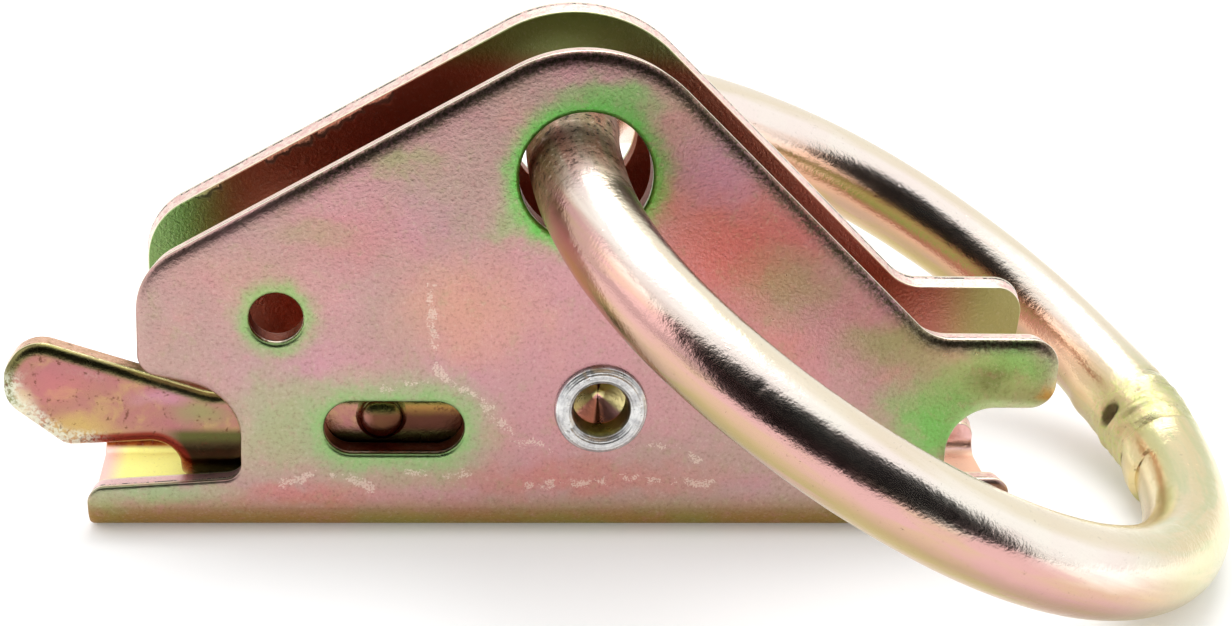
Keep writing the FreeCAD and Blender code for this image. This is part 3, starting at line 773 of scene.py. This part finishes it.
class Look:
    """One node material. Places are in millimetres of the row frame."""

    def __init__(self, name, *attributes):
        self.material = bpy.data.materials.new(name)
        self.material.use_nodes = True
        self.tree = self.material.node_tree
        self.shader = self.tree.nodes["Principled BSDF"].inputs
        coordinates = self.node("TexCoord").outputs["Object"]
        self.place = self.vector("MULTIPLY", coordinates, (1 / MM, 1 / MM, 1 / MM))
        self.x, self.y, self.z = self.parts(self.place)
        for attribute in attributes:
            made = self.node("Attribute", attribute_name=attribute)
            setattr(self, attribute, made.outputs["Fac"])

    def node(self, kind, inputs=None, **settings):
        """New shader node with its settings, and its inputs by name or number."""
        made = self.tree.nodes.new("ShaderNode" + kind)
        for name, value in settings.items():
            setattr(made, name, value)
        for key, value in (inputs or {}).items():
            self.put(value, made.inputs[key])
        return made

    def put(self, value, socket):
        """Links an output or sets a value; a colour is given as a screen shows it, from 0 to 255."""
        if isinstance(value, bpy.types.NodeSocket):
            self.tree.links.new(value, socket)
        else:
            socket.default_value = tone(value) if socket.type == "RGBA" else value

    def math(self, operation, first, second=0.0, clamp=False):
        inputs = {0: first, 1: second}
        return self.node("Math", inputs, operation=operation, use_clamp=clamp).outputs[0]

    def times(self, first, *more):
        """Product of one or more values."""
        for value in more:
            first = self.math("MULTIPLY", first, value)
        return first

    def add(self, first, second):
        return self.math("ADD", first, second)

    def vector(self, operation, first, second=(0.0, 0.0, 0.0)):
        made = self.node("VectorMath", {0: first, 1: second}, operation=operation)
        return made.outputs[1 if operation in ("LENGTH", "DISTANCE", "DOT_PRODUCT") else 0]

    def scaled(self, vector, factor):
        return self.node("VectorMath", {0: vector, "Scale": factor}, operation="SCALE").outputs[0]

    def parts(self, vector):
        return self.node("SeparateXYZ", {0: vector}).outputs

    def noise(self, scale, detail=3.0, rough=0.55, place=None, output="Fac"):
        inputs = {"Vector": place or self.place, "Scale": scale, "Detail": detail, "Roughness": rough}
        return self.node("TexNoise", inputs).outputs[output]

    def fade(self, value, low, high):
        """0 at low and 1 at high, smooth between them; low may be above high."""
        inputs = {"Value": value, "From Min": min(low, high), "From Max": max(low, high),
                  "To Min": float(low > high), "To Max": float(low < high)}
        return self.node("MapRange", inputs, interpolation_type="SMOOTHSTEP").outputs[0]

    def where(self, **limits):
        """Product of fades, each of one of the look's own values from its first to its second limit."""
        return self.times(*[self.fade(getattr(self, name), *pair) for name, pair in limits.items()])

    def band(self, value, start, full, past, end):
        """1 between full and past, 0 before start and after end."""
        return self.times(self.fade(value, start, full), self.fade(value, end, past))

    def mix(self, base, tint, *shares):
        """The tint laid over the base by the product of the shares."""
        inputs = {0: self.times(*shares), 6: base, 7: tint}
        return self.node("Mix", inputs, data_type="RGBA").outputs[2]

    def from_place(self, x, z, wide=1.0, high=1.0, place=None):
        """Distance from an XZ place, in shares of its half width and half height."""
        flat = self.vector("MULTIPLY", place or self.place, (1.0 / wide, 0.0, 1.0 / high))
        return self.vector("DISTANCE", flat, (x / wide, 0.0, z / high))

    def spot(self, x, z, wide, high, strength=1.0, place=None):
        """Soft patch, 1 at its middle and 0 past its edge."""
        return self.times(self.fade(self.from_place(x, z, wide, high, place), 1.25, 0.1), strength)

    def patches(self, base, place, spots):
        """Lays soft patches (tint, x, z, half width, half height, strength) over a colour."""
        for tint, x, z, wide, high, strength in spots:
            base = self.mix(base, tint, self.spot(x, z, wide, high, strength, place))
        return base

    def to_run(self, start, end, place):
        """Distance in the XZ plane to a straight run, in mm."""
        run = (end[0] - start[0], 0.0, end[1] - start[1])
        square = run[0] ** 2 + run[2] ** 2
        flat = self.vector("MULTIPLY", place, (1.0, 0.0, 1.0))
        off = self.vector("SUBTRACT", flat, (start[0], 0.0, start[1]))
        share = self.vector("DOT_PRODUCT", off, (run[0] / square, 0.0, run[2] / square))
        return self.vector("DISTANCE", off, self.scaled(run, self.math("ADD", share, 0.0, True)))

    def bump(self, height, strength, distance, before=None):
        inputs = {"Height": height, "Strength": strength, "Distance": distance * MM}
        if before:
            inputs["Normal"] = before
        return self.node("Bump", inputs).outputs[0]

    def warp(self, scale, amount):
        """Places moved about by noise, so that patches have uneven edges."""
        moved = self.vector("SUBTRACT", self.noise(scale, 3.0, 0.6, None, "Color"), (0.5, 0.5, 0.5))
        return self.vector("ADD", self.place, self.scaled(moved, amount))

    def metal(self, color, rough, normal):
        """Finishes the material as metal."""
        for value, name in ((1.0, "Metallic"), (color, "Base Color"), (rough, "Roughness"),
                            (normal, "Normal")):
            self.put(value, self.shader[name])
        return self.material


PINK = (198, 147, 150)
DUSK = (180, 150, 140)
ROSE = (204, 118, 110)
SALMON = (208, 154, 136)
LILAC = (196, 140, 160)
CREAM = (232, 214, 196)
KHAKI = (162, 162, 116)
GREEN = (112, 194, 90)
PALE_GREEN = (160, 176, 132)
OLIVE = (174, 200, 134)
BROWN = (96, 58, 40)
BLACK = (34, 30, 22)
CUT = (255, 238, 224)
YELLOW = (255, 252, 158)

# Plating patches of the front cheek: tint, XZ place, half size in mm, strength
CHEEK_PATCHES = (
    (ROSE, 11.0, 23.5, 7.5, 7.0, 0.9),
    (ROSE, 14.0, 15.0, 5.0, 4.0, 0.4),
    (ROSE, 0.0, 5.2, 14.0, 1.8, 0.5),
    (ROSE, -20.0, 3.9, 7.5, 1.3, 0.55),
    (ROSE, -17.0, 24.5, 6.0, 3.0, 0.25),
    (SALMON, -8.5, 19.0, 6.0, 5.5, 0.9),
    (SALMON, -24.0, 21.0, 6.5, 3.0, 0.3),
    (DUSK, -2.0, 35.5, 9.0, 2.6, 0.8),
    (LILAC, 9.5, 30.0, 4.5, 3.4, 0.75),
    (ROSE, 16.5, 26.0, 4.0, 4.0, 0.6),
    (KHAKI, -13.6, 30.4, 3.6, 1.4, 0.75),
    (KHAKI, -20.0, 24.8, 4.0, 1.4, 0.4),
    (KHAKI, 15.5, 21.0, 5.0, 3.4, 0.6),
    (KHAKI, 23.9, 16.4, 4.8, 2.6, 0.9),
    (PALE_GREEN, -22.5, 9.4, 4.4, 5.0, 0.75),
    (KHAKI, -15.0, 8.6, 10.0, 5.2, 0.55),
    (LILAC, -9.0, 13.0, 4.0, 2.0, 0.35),
    (LILAC, -20.0, 14.6, 4.0, 2.0, 0.4),
    (OLIVE, 32.0, 13.4, 7.6, 4.2, 1.0),
    (GREEN, 27.4, 9.6, 4.6, 4.8, 0.85),
    (GREEN, 33.6, 15.0, 4.6, 1.9, 0.5),
    ((112, 112, 66), 31.4, 13.4, 2.0, 1.6, 0.6),
    ((226, 168, 84), 36.9, 12.4, 1.4, 1.2, 0.8),
    (GREEN, -5.4, 25.4, 2.2, 1.8, 0.35),
    (GREEN, RING_HOLE[0] + 1.8, RING_HOLE[1] + 5.9, 5.0, 1.9, 0.65),
    (PALE_GREEN, -31.8, 3.9, 7.5, 1.5, 0.95),
)
# Green halos of the punched holes: hole, reach in mm, strength
HALOS = ((RING_HOLE, 2.7, 1.0), (PILOT_HOLE, 2.3, 0.6))
# Scuff trails on the front cheek, as XZ places in mm
SCUFFS = (
    ((-11.2, 20.6), (-11.0, 16.9), (-10.4, 13.9), (-9.4, 12.9), (-7.2, 11.4), (-4.6, 8.6), (-2.2, 7.6)),
    ((-10.6, 14.6), (-8.6, 12.0), (-6.4, 11.2)),
    ((-11.0, 13.0), (-14.4, 12.4)),
    ((-22.0, 4.6), (-19.4, 5.6), (-17.4, 5.4), (-15.4, 4.4)),
    ((-12.4, 5.6), (-9.6, 5.0), (-8.2, 5.5)),
    ((-3.6, 4.6), (3.6, 5.2), (10.6, 4.8)),
    ((4.6, 7.6), (7.6, 7.9), (9.6, 6.4)),
)


def from_window(look):
    """Distance from the edge of the window slots in mm."""
    left, right, z, half = WINDOW
    off = look.vector("SUBTRACT", look.place, ((left + right) / 2, 0.0, z))
    off = look.vector("ABSOLUTE", look.vector("MULTIPLY", off, (1.0, 0.0, 1.0)))
    off = look.vector("MAXIMUM", look.vector("SUBTRACT", off, ((right - left) / 2 - half, 0.0, 0.0)))
    return look.math("SUBTRACT", look.vector("LENGTH", off), half)


def cheek_color(look):
    """Outer face of the channel: clouds, patches, halos, golden bends and a painted dark reflection along
    the upper rim.
    """
    mottle = look.mottle
    warped = look.warp(0.4, 4.2)
    look.cloud = look.noise(0.07, 3.0, 0.5, warped)
    veil = look.noise(0.12, 3.0, 0.5, look.vector("ADD", warped, (40.0, 7.0, 13.0)))
    color = look.mix(PINK, DUSK, look.fade(look.cloud, 0.36, 0.66))
    color = look.mix(color, SALMON, look.fade(veil, 0.54, 0.72), 0.45)
    color = look.mix(color, LILAC, look.fade(veil, 0.44, 0.26), 0.45)
    color = look.patches(color, warped, CHEEK_PATCHES)

    shake = look.times(look.math("SUBTRACT", look.noise(0.8, 4.0, 0.65), 0.5), 2.6)
    far = look.add(from_window(look), shake)
    color = look.mix(color, PALE_GREEN, look.fade(far, 3.6, 0.2), 0.8)
    halo = look.times(look.fade(far, 1.9, -0.6), 0.5)
    for (x, z, radius), reach, strength in HALOS:
        far = look.add(look.math("SUBTRACT", look.from_place(x, z), radius), look.times(shake, 0.6))
        near = look.fade(far, reach, 0.0)
        halo = look.math("MAXIMUM", halo, look.times(near, near, strength))
    color = look.mix(color, GREEN, halo, look.fade(mottle, 0.22, 0.42))

    golden = look.mix((162, 126, 32), (150, 138, 34), look.fade(veil, 0.4, 0.6))
    color = look.mix(color, golden, look.where(z=(4.2, 0.9)), 0.9)
    color = look.mix(color, (206, 138, 146), look.fade(mottle, 0.52, 0.7), 0.22)
    color = look.mix(color, KHAKI, look.fade(mottle, 0.47, 0.3), 0.25)
    # Painted dark reflection: the rolled upper edges are darkened as if mirroring dark surroundings.
    rim = look.fade(look.add(look.edge, look.times(shake, 0.22)), 1.7, 0.4)
    rim = look.times(rim, look.where(z=(12.5, 17.0)), look.where(x=(-24.0, -20.0)))
    return look.mix(color, (104, 92, 70), rim, look.fade(look.grain, 0.28, 0.62))


def wall_color(look):
    """Inner face of the channel, with the places of it that the photograph shows."""
    wall = look.mix((196, 118, 98), (176, 118, 92), look.fade(look.cloud, 0.3, 0.7))
    olive = look.math("MAXIMUM", look.where(x=(-25.0, -30.5)), look.times(look.where(z=(33.5, 36.0)), 0.8))
    wall = look.mix(wall, (142, 174, 108), olive, look.where(z=(12.0, 18.0)))
    # Painted light: the back wall seen through the pilot hole is made brighter and redder.
    lit_behind_pilot = look.spot(PILOT_HOLE[0] + 1.3, PILOT_HOLE[1] - 4.4, 3.4, 3.4, 0.7)
    wall = look.mix(wall, (246, 128, 96), lit_behind_pilot)
    nose = look.mix((196, 128, 118), (178, 170, 116), look.where(x=(29.0, 34.0)))
    wall = look.mix(wall, nose, look.where(x=(24.0, 30.0)))
    wall = look.mix(wall, (250, 206, 204), look.where(x=(25.0, 27.0), z=(9.0, 7.5)))
    # Painted shade: the jaw's inner face under the tab is painted dark red-brown.
    lip_shade = look.mix((150, 66, 44), (190, 116, 60), look.fade(look.mottle, 0.4, 0.6))
    wall = look.mix(wall, lip_shade, look.where(z=(6.0, 5.0), x=(-24.0, -26.0)))
    web = look.mix(YELLOW, (250, 206, 196), look.where(x=(-34.2, -36.0)))
    web = look.mix(web, (252, 214, 188), look.where(x=(14.0, 22.0)))
    return look.mix(wall, web, look.web)


def cut_edges(look, color):
    """Lays the punched edges over a colour: raw metal, a painted highlight along its inner arris, tears
    and a burnished line.
    """
    raw = look.mix(CUT, (240, 196, 190), look.fade(look.rough_cut, 0.36, 0.66))
    raw = look.mix(raw, (255, 214, 214), look.where(x=(-23.0, -25.0), z=(9.0, 7.0)), 0.8)
    raw = look.mix(raw, BROWN, look.fade(look.rough_cut, 0.33, 0.25))
    # Painted highlight along the inner arris of the cut edge.
    raw = look.mix(raw, (255, 244, 214), look.band(look.depth, 0.84, 0.92, 0.975, 0.995))
    raw = look.mix(raw, (150, 78, 52), look.where(edge=(2.6, 3.0)), look.cut)
    color = look.mix(color, raw, look.cut)
    tear = look.band(look.depth, 0.25, 0.3, 0.35, 0.4)
    color = look.mix(color, BLACK, tear, look.fade(look.rough_cut, 0.56, 0.46))
    return look.mix(color, (255, 246, 222), look.band(look.depth, 0.14, 0.18, 0.26, 0.3))


def scuffed(look, color):
    """Lays light scuffs along their trails on the front cheek over a colour."""
    shaken = look.warp(0.35, 1.6)
    runs = [look.to_run(start, end, shaken) for trail in SCUFFS for start, end in zip(trail, trail[1:])]
    far = runs[0]
    for run in runs[1:]:
        far = look.math("MINIMUM", far, run)
    near = look.times(look.fade(far, 1.0, 0.0), look.add(look.fade(look.mottle, 0.35, 0.6), 0.35))
    scuff = look.fade(look.times(look.noise(7.0, 1.0, 0.5), near), 0.46, 0.62)
    return look.mix(color, CREAM, look.times(scuff, look.where(y=(-6.6, -6.8))), 0.5)


def plated_channel():
    look = Look("plated_channel", "depth", "edge")
    look.mottle = look.noise(0.75, 4.0, 0.7)
    look.grain = look.noise(4.2, 3.0, 0.75)
    look.rough_cut = look.noise(1.9, 4.0, 0.75)
    look.cut = look.band(look.depth, 0.2, 0.27, 0.95, 0.99)
    look.web = look.where(z=(2.75, 2.45))
    color = cheek_color(look)
    color = look.mix(color, wall_color(look), look.where(depth=(0.9, 0.99)))
    color = scuffed(look, cut_edges(look, color))
    pebble = look.noise(3.9, 3.0, 0.65)
    # Painted highlight on the peaks of the orange-peel bump, and painted shade in its hollows on the outer
    # faces.
    color = look.mix(color, CREAM, look.fade(pebble, 0.54, 0.72), 0.16)
    color = look.mix(color, BROWN, look.fade(pebble, 0.48, 0.3), look.where(depth=(0.9, 0.8)), 0.24)
    color = look.mix(color, BROWN, look.fade(look.grain, 0.42, 0.2), 0.34)
    rough = look.add(look.times(look.noise(0.5), 0.12), 0.24)
    rough = look.add(look.add(rough, look.times(look.cut, 0.12)), look.times(look.web, 0.25))
    peel = look.bump(pebble, 0.65, 0.05)
    fine = look.bump(look.grain, 0.5, 0.03, peel)
    return look.metal(color, rough, look.bump(look.times(look.rough_cut, look.cut), 0.6, 0.08, fine))


# Plating patches of the latch: tint, XZ place, half size in mm, strength
LATCH_PATCHES = (
    ((222, 212, 176), -41.6, 9.4, 1.4, 2.2, 0.7),
    ((204, 184, 96), -37.0, 7.8, 3.8, 1.5, 0.6),
    ((200, 150, 172), -31.0, 10.6, 3.0, 0.9, 0.4),
    ((136, 152, 92), -28.3, 9.2, 2.8, 1.4, 0.6),
    ((196, 112, 118), -38.6, 11.2, 2.6, 1.6, 0.4),
)


def trough_color(look, veil):
    """Outer face of the latch: tab plating, gold in the windows with painted shade low in them and on the
    button, painted shade below in the channel, and a painted dark reflection on its rolled top edges.
    """
    warped = look.warped
    cloud = look.noise(0.22, 3.0, 0.6, warped)
    color = look.mix((172, 112, 112), (172, 122, 106), look.fade(cloud, 0.34, 0.62))
    color = look.mix(color, (196, 168, 106), look.fade(veil, 0.5, 0.68), 0.4)
    color = look.patches(color, warped, LATCH_PATCHES)
    # Gold plating in the windows, darker towards the bottom as painted shade; the button is painted dark
    # brown as painted shade.
    gold = look.mix((76, 44, 26), (164, 124, 62), look.where(z=(9.0, 10.2)))
    button_shade = look.spot(BUTTON[0], BUTTON[1], 2.6, 2.6)
    gold = look.mix(gold, (92, 56, 36), button_shade, look.where(y=(-4.3, -4.5)))
    color = look.mix(color, gold, look.band(look.x, -16.2, -15.0, -4.0, -2.0), 0.9)
    # Painted shade: the latch's round bottom inside the channel is painted near black.
    dark = look.mix((72, 58, 38), (92, 90, 50), look.where(z=(6.6, 7.4)))
    color = look.mix(color, dark, look.where(z=(8.3, 7.5), x=(-31.6, -29.4)))
    # Painted dark reflection along the rolled top edges of the latch.
    color = look.mix(color, (96, 112, 56), look.where(edge=(1.0, 0.5), z=(9.4, 10.2)), 0.75)
    return look.mix(color, (140, 58, 44), look.where(edge=(1.1, 0.7), z=(8.2, 7.6), x=(-37.6, -36.0)))


def plated_latch():
    look = Look("plated_latch", "depth", "edge")
    look.warped = look.warp(0.3, 2.4)
    veil = look.noise(0.5, 3.0, 0.6, look.vector("ADD", look.warped, (9.0, 20.0, 5.0)))
    grain = look.noise(4.2, 3.0, 0.75)
    color = trough_color(look, veil)
    rough_cut = look.noise(1.9, 4.0, 0.7)
    raw = look.mix((236, 190, 160), (206, 160, 120), look.fade(rough_cut, 0.36, 0.66))
    color = look.mix(color, raw, look.band(look.depth, 0.22, 0.28, 0.95, 0.99))
    color = look.mix(color, (236, 232, 176), look.band(look.depth, 0.23, 0.26, 0.3, 0.33))
    color = look.mix(color, (150, 74, 54), look.where(depth=(0.9, 0.99), x=(-37.0, -31.0)))
    worn = look.fade(look.add(look.edge, look.times(veil, 1.2)), 2.2, 1.4)
    worn = look.times(worn, look.where(x=(-34.5, -37.5), z=(13.0, 11.4)))
    worn = look.times(worn, look.fade(look.noise(3.0, 4.0, 0.7), 0.4, 0.56))
    color = look.mix(color, (216, 218, 196), worn, 0.75)
    pits = look.fade(look.noise(2.0, 3.0, 0.7), 0.42, 0.3)
    color = look.mix(color, BROWN, pits, 0.7)
    color = look.mix(color, BROWN, look.fade(grain, 0.4, 0.2), 0.45)
    rough = look.add(look.times(look.noise(0.8), 0.12), 0.2)
    peel = look.bump(look.noise(1.6, 3.0, 0.6), 0.5, 0.06)
    sunk = look.bump(pits, -0.5, 0.05, peel)
    return look.metal(color, rough, look.bump(grain, 0.45, 0.03, sunk))


# Middle of the ring's weld and of its worn stretch in the front hole, in mm
WELD_PLACE = (48.2, 4.2, 4.2)
WORN_PLACE = (0.0, -5.0, 28.8)


def bar_color(look, streak):
    """Plating of the ring's bar by the height of its surface, with a painted near-white highlight on the
    upper side, more yellow at the right end.
    """
    cloud = look.noise(0.11, 3.0, 0.55, look.warp(0.2, 3.0))
    # Near-white on the upper side of the bar: a painted highlight; the tints lower down are plating.
    high = look.mix((255, 248, 236), (254, 240, 232), look.fade(cloud, 0.35, 0.65))
    crown = look.fade(look.add(look.rise, look.times(streak, 0.2)), 0.95, 1.08)
    high = look.mix(high, (230, 214, 176), crown, 0.6)
    middle = look.mix((206, 160, 154), (202, 166, 140), look.fade(streak, 0.4, 0.62))
    middle = look.mix(middle, (234, 186, 156), look.where(reach=(0.0, -0.6)))
    low = look.mix((202, 168, 142), (192, 172, 118), look.fade(streak, 0.4, 0.6))
    level = look.add(look.rise, look.times(look.math("SUBTRACT", streak, 0.5), 0.7))
    color = look.mix(middle, high, look.fade(level, 0.2, 0.75))
    color = look.mix(color, low, look.fade(level, -0.15, -0.55))
    yellow = look.mix((200, 200, 142), (222, 204, 152), look.fade(streak, 0.4, 0.6))
    return look.mix(color, yellow, look.where(x=(33.0, 46.0), y=(14.0, 2.0)), 0.85)


def plated_ring():
    look = Look("plated_ring", "rise", "reach", "mark")
    round_bar = look.node("CombineXYZ", {1: look.times(look.rise, 2.6), 2: look.times(look.reach, 2.6)})
    along = look.vector("MULTIPLY", look.place, (0.12, 0.12, 0.12))
    streak = look.noise(0.9, 3.0, 0.55, look.vector("ADD", along, round_bar.outputs[0]))
    grain = look.noise(3.6, 3.0, 0.75)
    speck = look.noise(1.7, 5.0, 0.8)
    color = bar_color(look, streak)
    hole = look.fade(look.vector("DISTANCE", look.place, WORN_PLACE), 9.2, 4.4)
    rust = look.mix((170, 100, 66), (138, 118, 68), look.fade(streak, 0.4, 0.6))
    color = look.mix(color, rust, hole, 0.75)
    color = look.mix(color, BLACK, hole, look.fade(speck, 0.5, 0.36))
    color = look.mix(color, CREAM, hole, look.fade(speck, 0.56, 0.66))
    weld = look.fade(look.vector("DISTANCE", look.place, WELD_PLACE), 6.2, 3.4)
    color = look.mix(color, (200, 204, 130), weld, look.fade(speck, 0.46, 0.6))
    color = look.mix(color, (110, 70, 40), weld, look.fade(speck, 0.4, 0.3))
    # Painted shade in the dents of the weld, by their depth.
    color = look.mix(color, (66, 50, 30), look.where(mark=(0.25, 0.9)), 0.85)
    color = look.mix(color, BROWN, look.fade(grain, 0.4, 0.2), 0.4)
    worn = look.math("MAXIMUM", hole, look.times(weld, 0.6))
    rough = look.add(look.times(look.noise(0.6), 0.1), 0.15)
    rough = look.add(rough, look.times(worn, 0.18))
    dents = look.bump(look.noise(0.9, 3.0, 0.6), 0.5, 0.07)
    pits = look.bump(look.fade(look.noise(0.8, 4.0, 0.75), 0.34, 0.26), 0.5, 0.08, dents)
    crust = look.bump(look.times(speck, worn), 0.9, 0.25, pits)
    return look.metal(color, rough, look.bump(grain, 0.45, 0.03, crust))


def spring_steel():
    look = Look("spring_wire")
    cloud = look.noise(0.8, 4.0, 0.65)
    lines = look.noise(3.5, 3.0, 0.7)
    color = look.mix((190, 188, 180), (150, 146, 136), look.fade(cloud, 0.35, 0.7))
    color = look.mix(color, (70, 66, 58), look.fade(lines, 0.38, 0.25), 0.6)
    rough = look.add(look.times(cloud, 0.2), 0.22)
    return look.metal(color, rough, look.bump(lines, 0.5, 0.03, look.bump(cloud, 0.5, 0.06)))


def bore_color(look):
    """Bore of the rivet: a drilled cone with painted reflections, yellow above, pink below, bright at the
    sides and dark at top and bottom, and its greener wall.
    """
    off = look.parts(look.vector("SUBTRACT", look.place, (RIVET_HOLE[0], 0.0, RIVET_HOLE[1])))
    wedges = look.math("ABSOLUTE", look.math("COSINE", look.math("ARCTAN2", off[2], off[0])))
    # Painted reflections on the drilled cone: yellow above, pink below, bright wedges at the sides and
    # dark ones at top and bottom.
    cone = look.mix((255, 186, 180), (250, 238, 140), look.fade(off[2], -0.2, 0.3))
    cone = look.mix(cone, (255, 238, 170), look.fade(wedges, 0.75, 0.9))
    cone = look.mix(cone, (84, 52, 40), look.fade(wedges, 0.22, 0.06))
    return look.mix((122, 120, 74), cone, look.where(y=(-5.15, -5.0)))


def rivet_steel():
    look = Look("rivet_steel")
    cloud = look.noise(1.2, 4.0, 0.65)
    lines = look.noise(3.6, 3.0, 0.7)
    color = look.mix((232, 232, 230), (188, 188, 190), look.fade(cloud, 0.35, 0.7))
    color = look.mix(color, (84, 80, 74), look.fade(lines, 0.42, 0.28), 0.6)
    middle = look.from_place(RIVET_HOLE[0], RIVET_HOLE[1])
    bore = look.times(look.fade(middle, 2.25, 2.0), look.band(look.y, -7.3, -7.0, -1.0, 0.0))
    color = look.mix(color, bore_color(look), bore)
    grooves = look.math("SINE", look.times(middle, 26.0))
    turned = look.bump(look.times(grooves, look.where(y=(-6.9, -7.1))), 0.35, 0.03)
    peel = look.bump(cloud, 0.5, 0.08, turned)
    return look.metal(color, look.add(look.times(cloud, 0.2), 0.2), look.bump(lines, 0.5, 0.04, peel))


# Stage

def matt(name, color):
    """Plain material without any shine."""
    look = Look(name)
    for value, key in ((color, "Base Color"), (1.0, "Roughness"), (0.0, "Specular IOR Level")):
        look.put(value, look.shader[key])
    return look


def panel(name, corners, material):
    mesh = bpy.data.meshes.new(name)
    mesh.from_pydata([tuple(v * MM for v in corner) for corner in corners], [], [(0, 1, 2, 3)])
    mesh.materials.append(material)
    made = bpy.data.objects.new(name, mesh)
    bpy.context.scene.collection.objects.link(made)
    return made


def make_stage():
    """White floor and world, two lamps, and dark flags that only reflections show."""
    paper = matt("floor", FLOOR_COLOR)
    rays = paper.node("LightPath").outputs
    seen = rays["Is Camera Ray"]
    for kind in ("Is Glossy Ray", "Is Transmission Ray"):
        seen = paper.math("MAXIMUM", seen, rays[kind])
    paper.put(WHITE, paper.shader["Emission Color"])
    paper.put(paper.times(seen, FLOOR_LIFT), paper.shader["Emission Strength"])
    panel("floor", [(x * FLOOR_HALF, y * FLOOR_HALF, 0) for x, y in SQUARE], paper.material)
    black = matt("flag", FLAG_COLOR).material
    for name, near, far, top in FLAGS:
        corners = [(x * FLAG_HALF, far if y > 0 else near, top if y > 0 else FLAG_FOOT) for x, y in SQUARE]
        dark = panel(name, corners, black)
        dark.visible_camera = False
        dark.visible_diffuse = False
        dark.visible_shadow = False
    world = bpy.data.worlds.new("studio")
    bpy.context.scene.world = world
    world.use_nodes = True
    world.node_tree.nodes["Background"].inputs["Color"].default_value = tone(WHITE)
    lamp("top", (0.05, 0.2, 0.55), (0.0, 0.0, 0.0), 0.4, 1.5)
    lamp("side", (-0.55, -0.1, 0.35), (0.0, 0.0, 0.015), 0.4, 0.35)


def lamp(name, place, aim, size, power):
    light = bpy.data.lights.new(name, "AREA")
    light.shape = "SQUARE"
    light.size = size
    light.energy = power
    made = bpy.data.objects.new(name, light)
    made.location = place
    made.rotation_mode = "QUATERNION"
    made.rotation_quaternion = (Vector(aim) - Vector(place)).to_track_quat("-Z", "Y")
    bpy.context.scene.collection.objects.link(made)
    return made


def make_camera():
    data = bpy.data.cameras.new("camera")
    data.sensor_fit = "HORIZONTAL"
    data.sensor_width = 36.0
    data.lens = CAMERA_LENS
    data.clip_start = 0.01
    data.clip_end = 50.0
    camera = bpy.data.objects.new("camera", data)
    camera.matrix_world = (Matrix.Translation(Vector(CAMERA_PLACE) * MM)
                           @ Matrix.Rotation(-CAMERA_YAW, 4, "Z")
                           @ Matrix.Rotation(math.pi / 2 - CAMERA_PITCH, 4, "X")
                           @ Matrix.Rotation(CAMERA_ROLL, 4, "Z"))
    bpy.context.scene.collection.objects.link(camera)
    bpy.context.scene.camera = camera


def clear_start_scene():
    """Removes what a new file holds, and keeps the frame."""
    kept = set(frame["nodes"].values()) | set(frame["bodies"].values())
    for item in [item for item in bpy.data.objects if item not in kept]:
        bpy.data.objects.remove(item)


def main():
    clear_start_scene()
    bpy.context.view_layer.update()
    bpy.context.scene.view_settings.view_transform = "Standard"
    make_camera()
    make_stage()
    make_channel(plated_channel())
    make_latch(plated_latch())
    make_rivet(rivet_steel())
    make_spring(spring_steel())
    make_ring(plated_ring())


main()
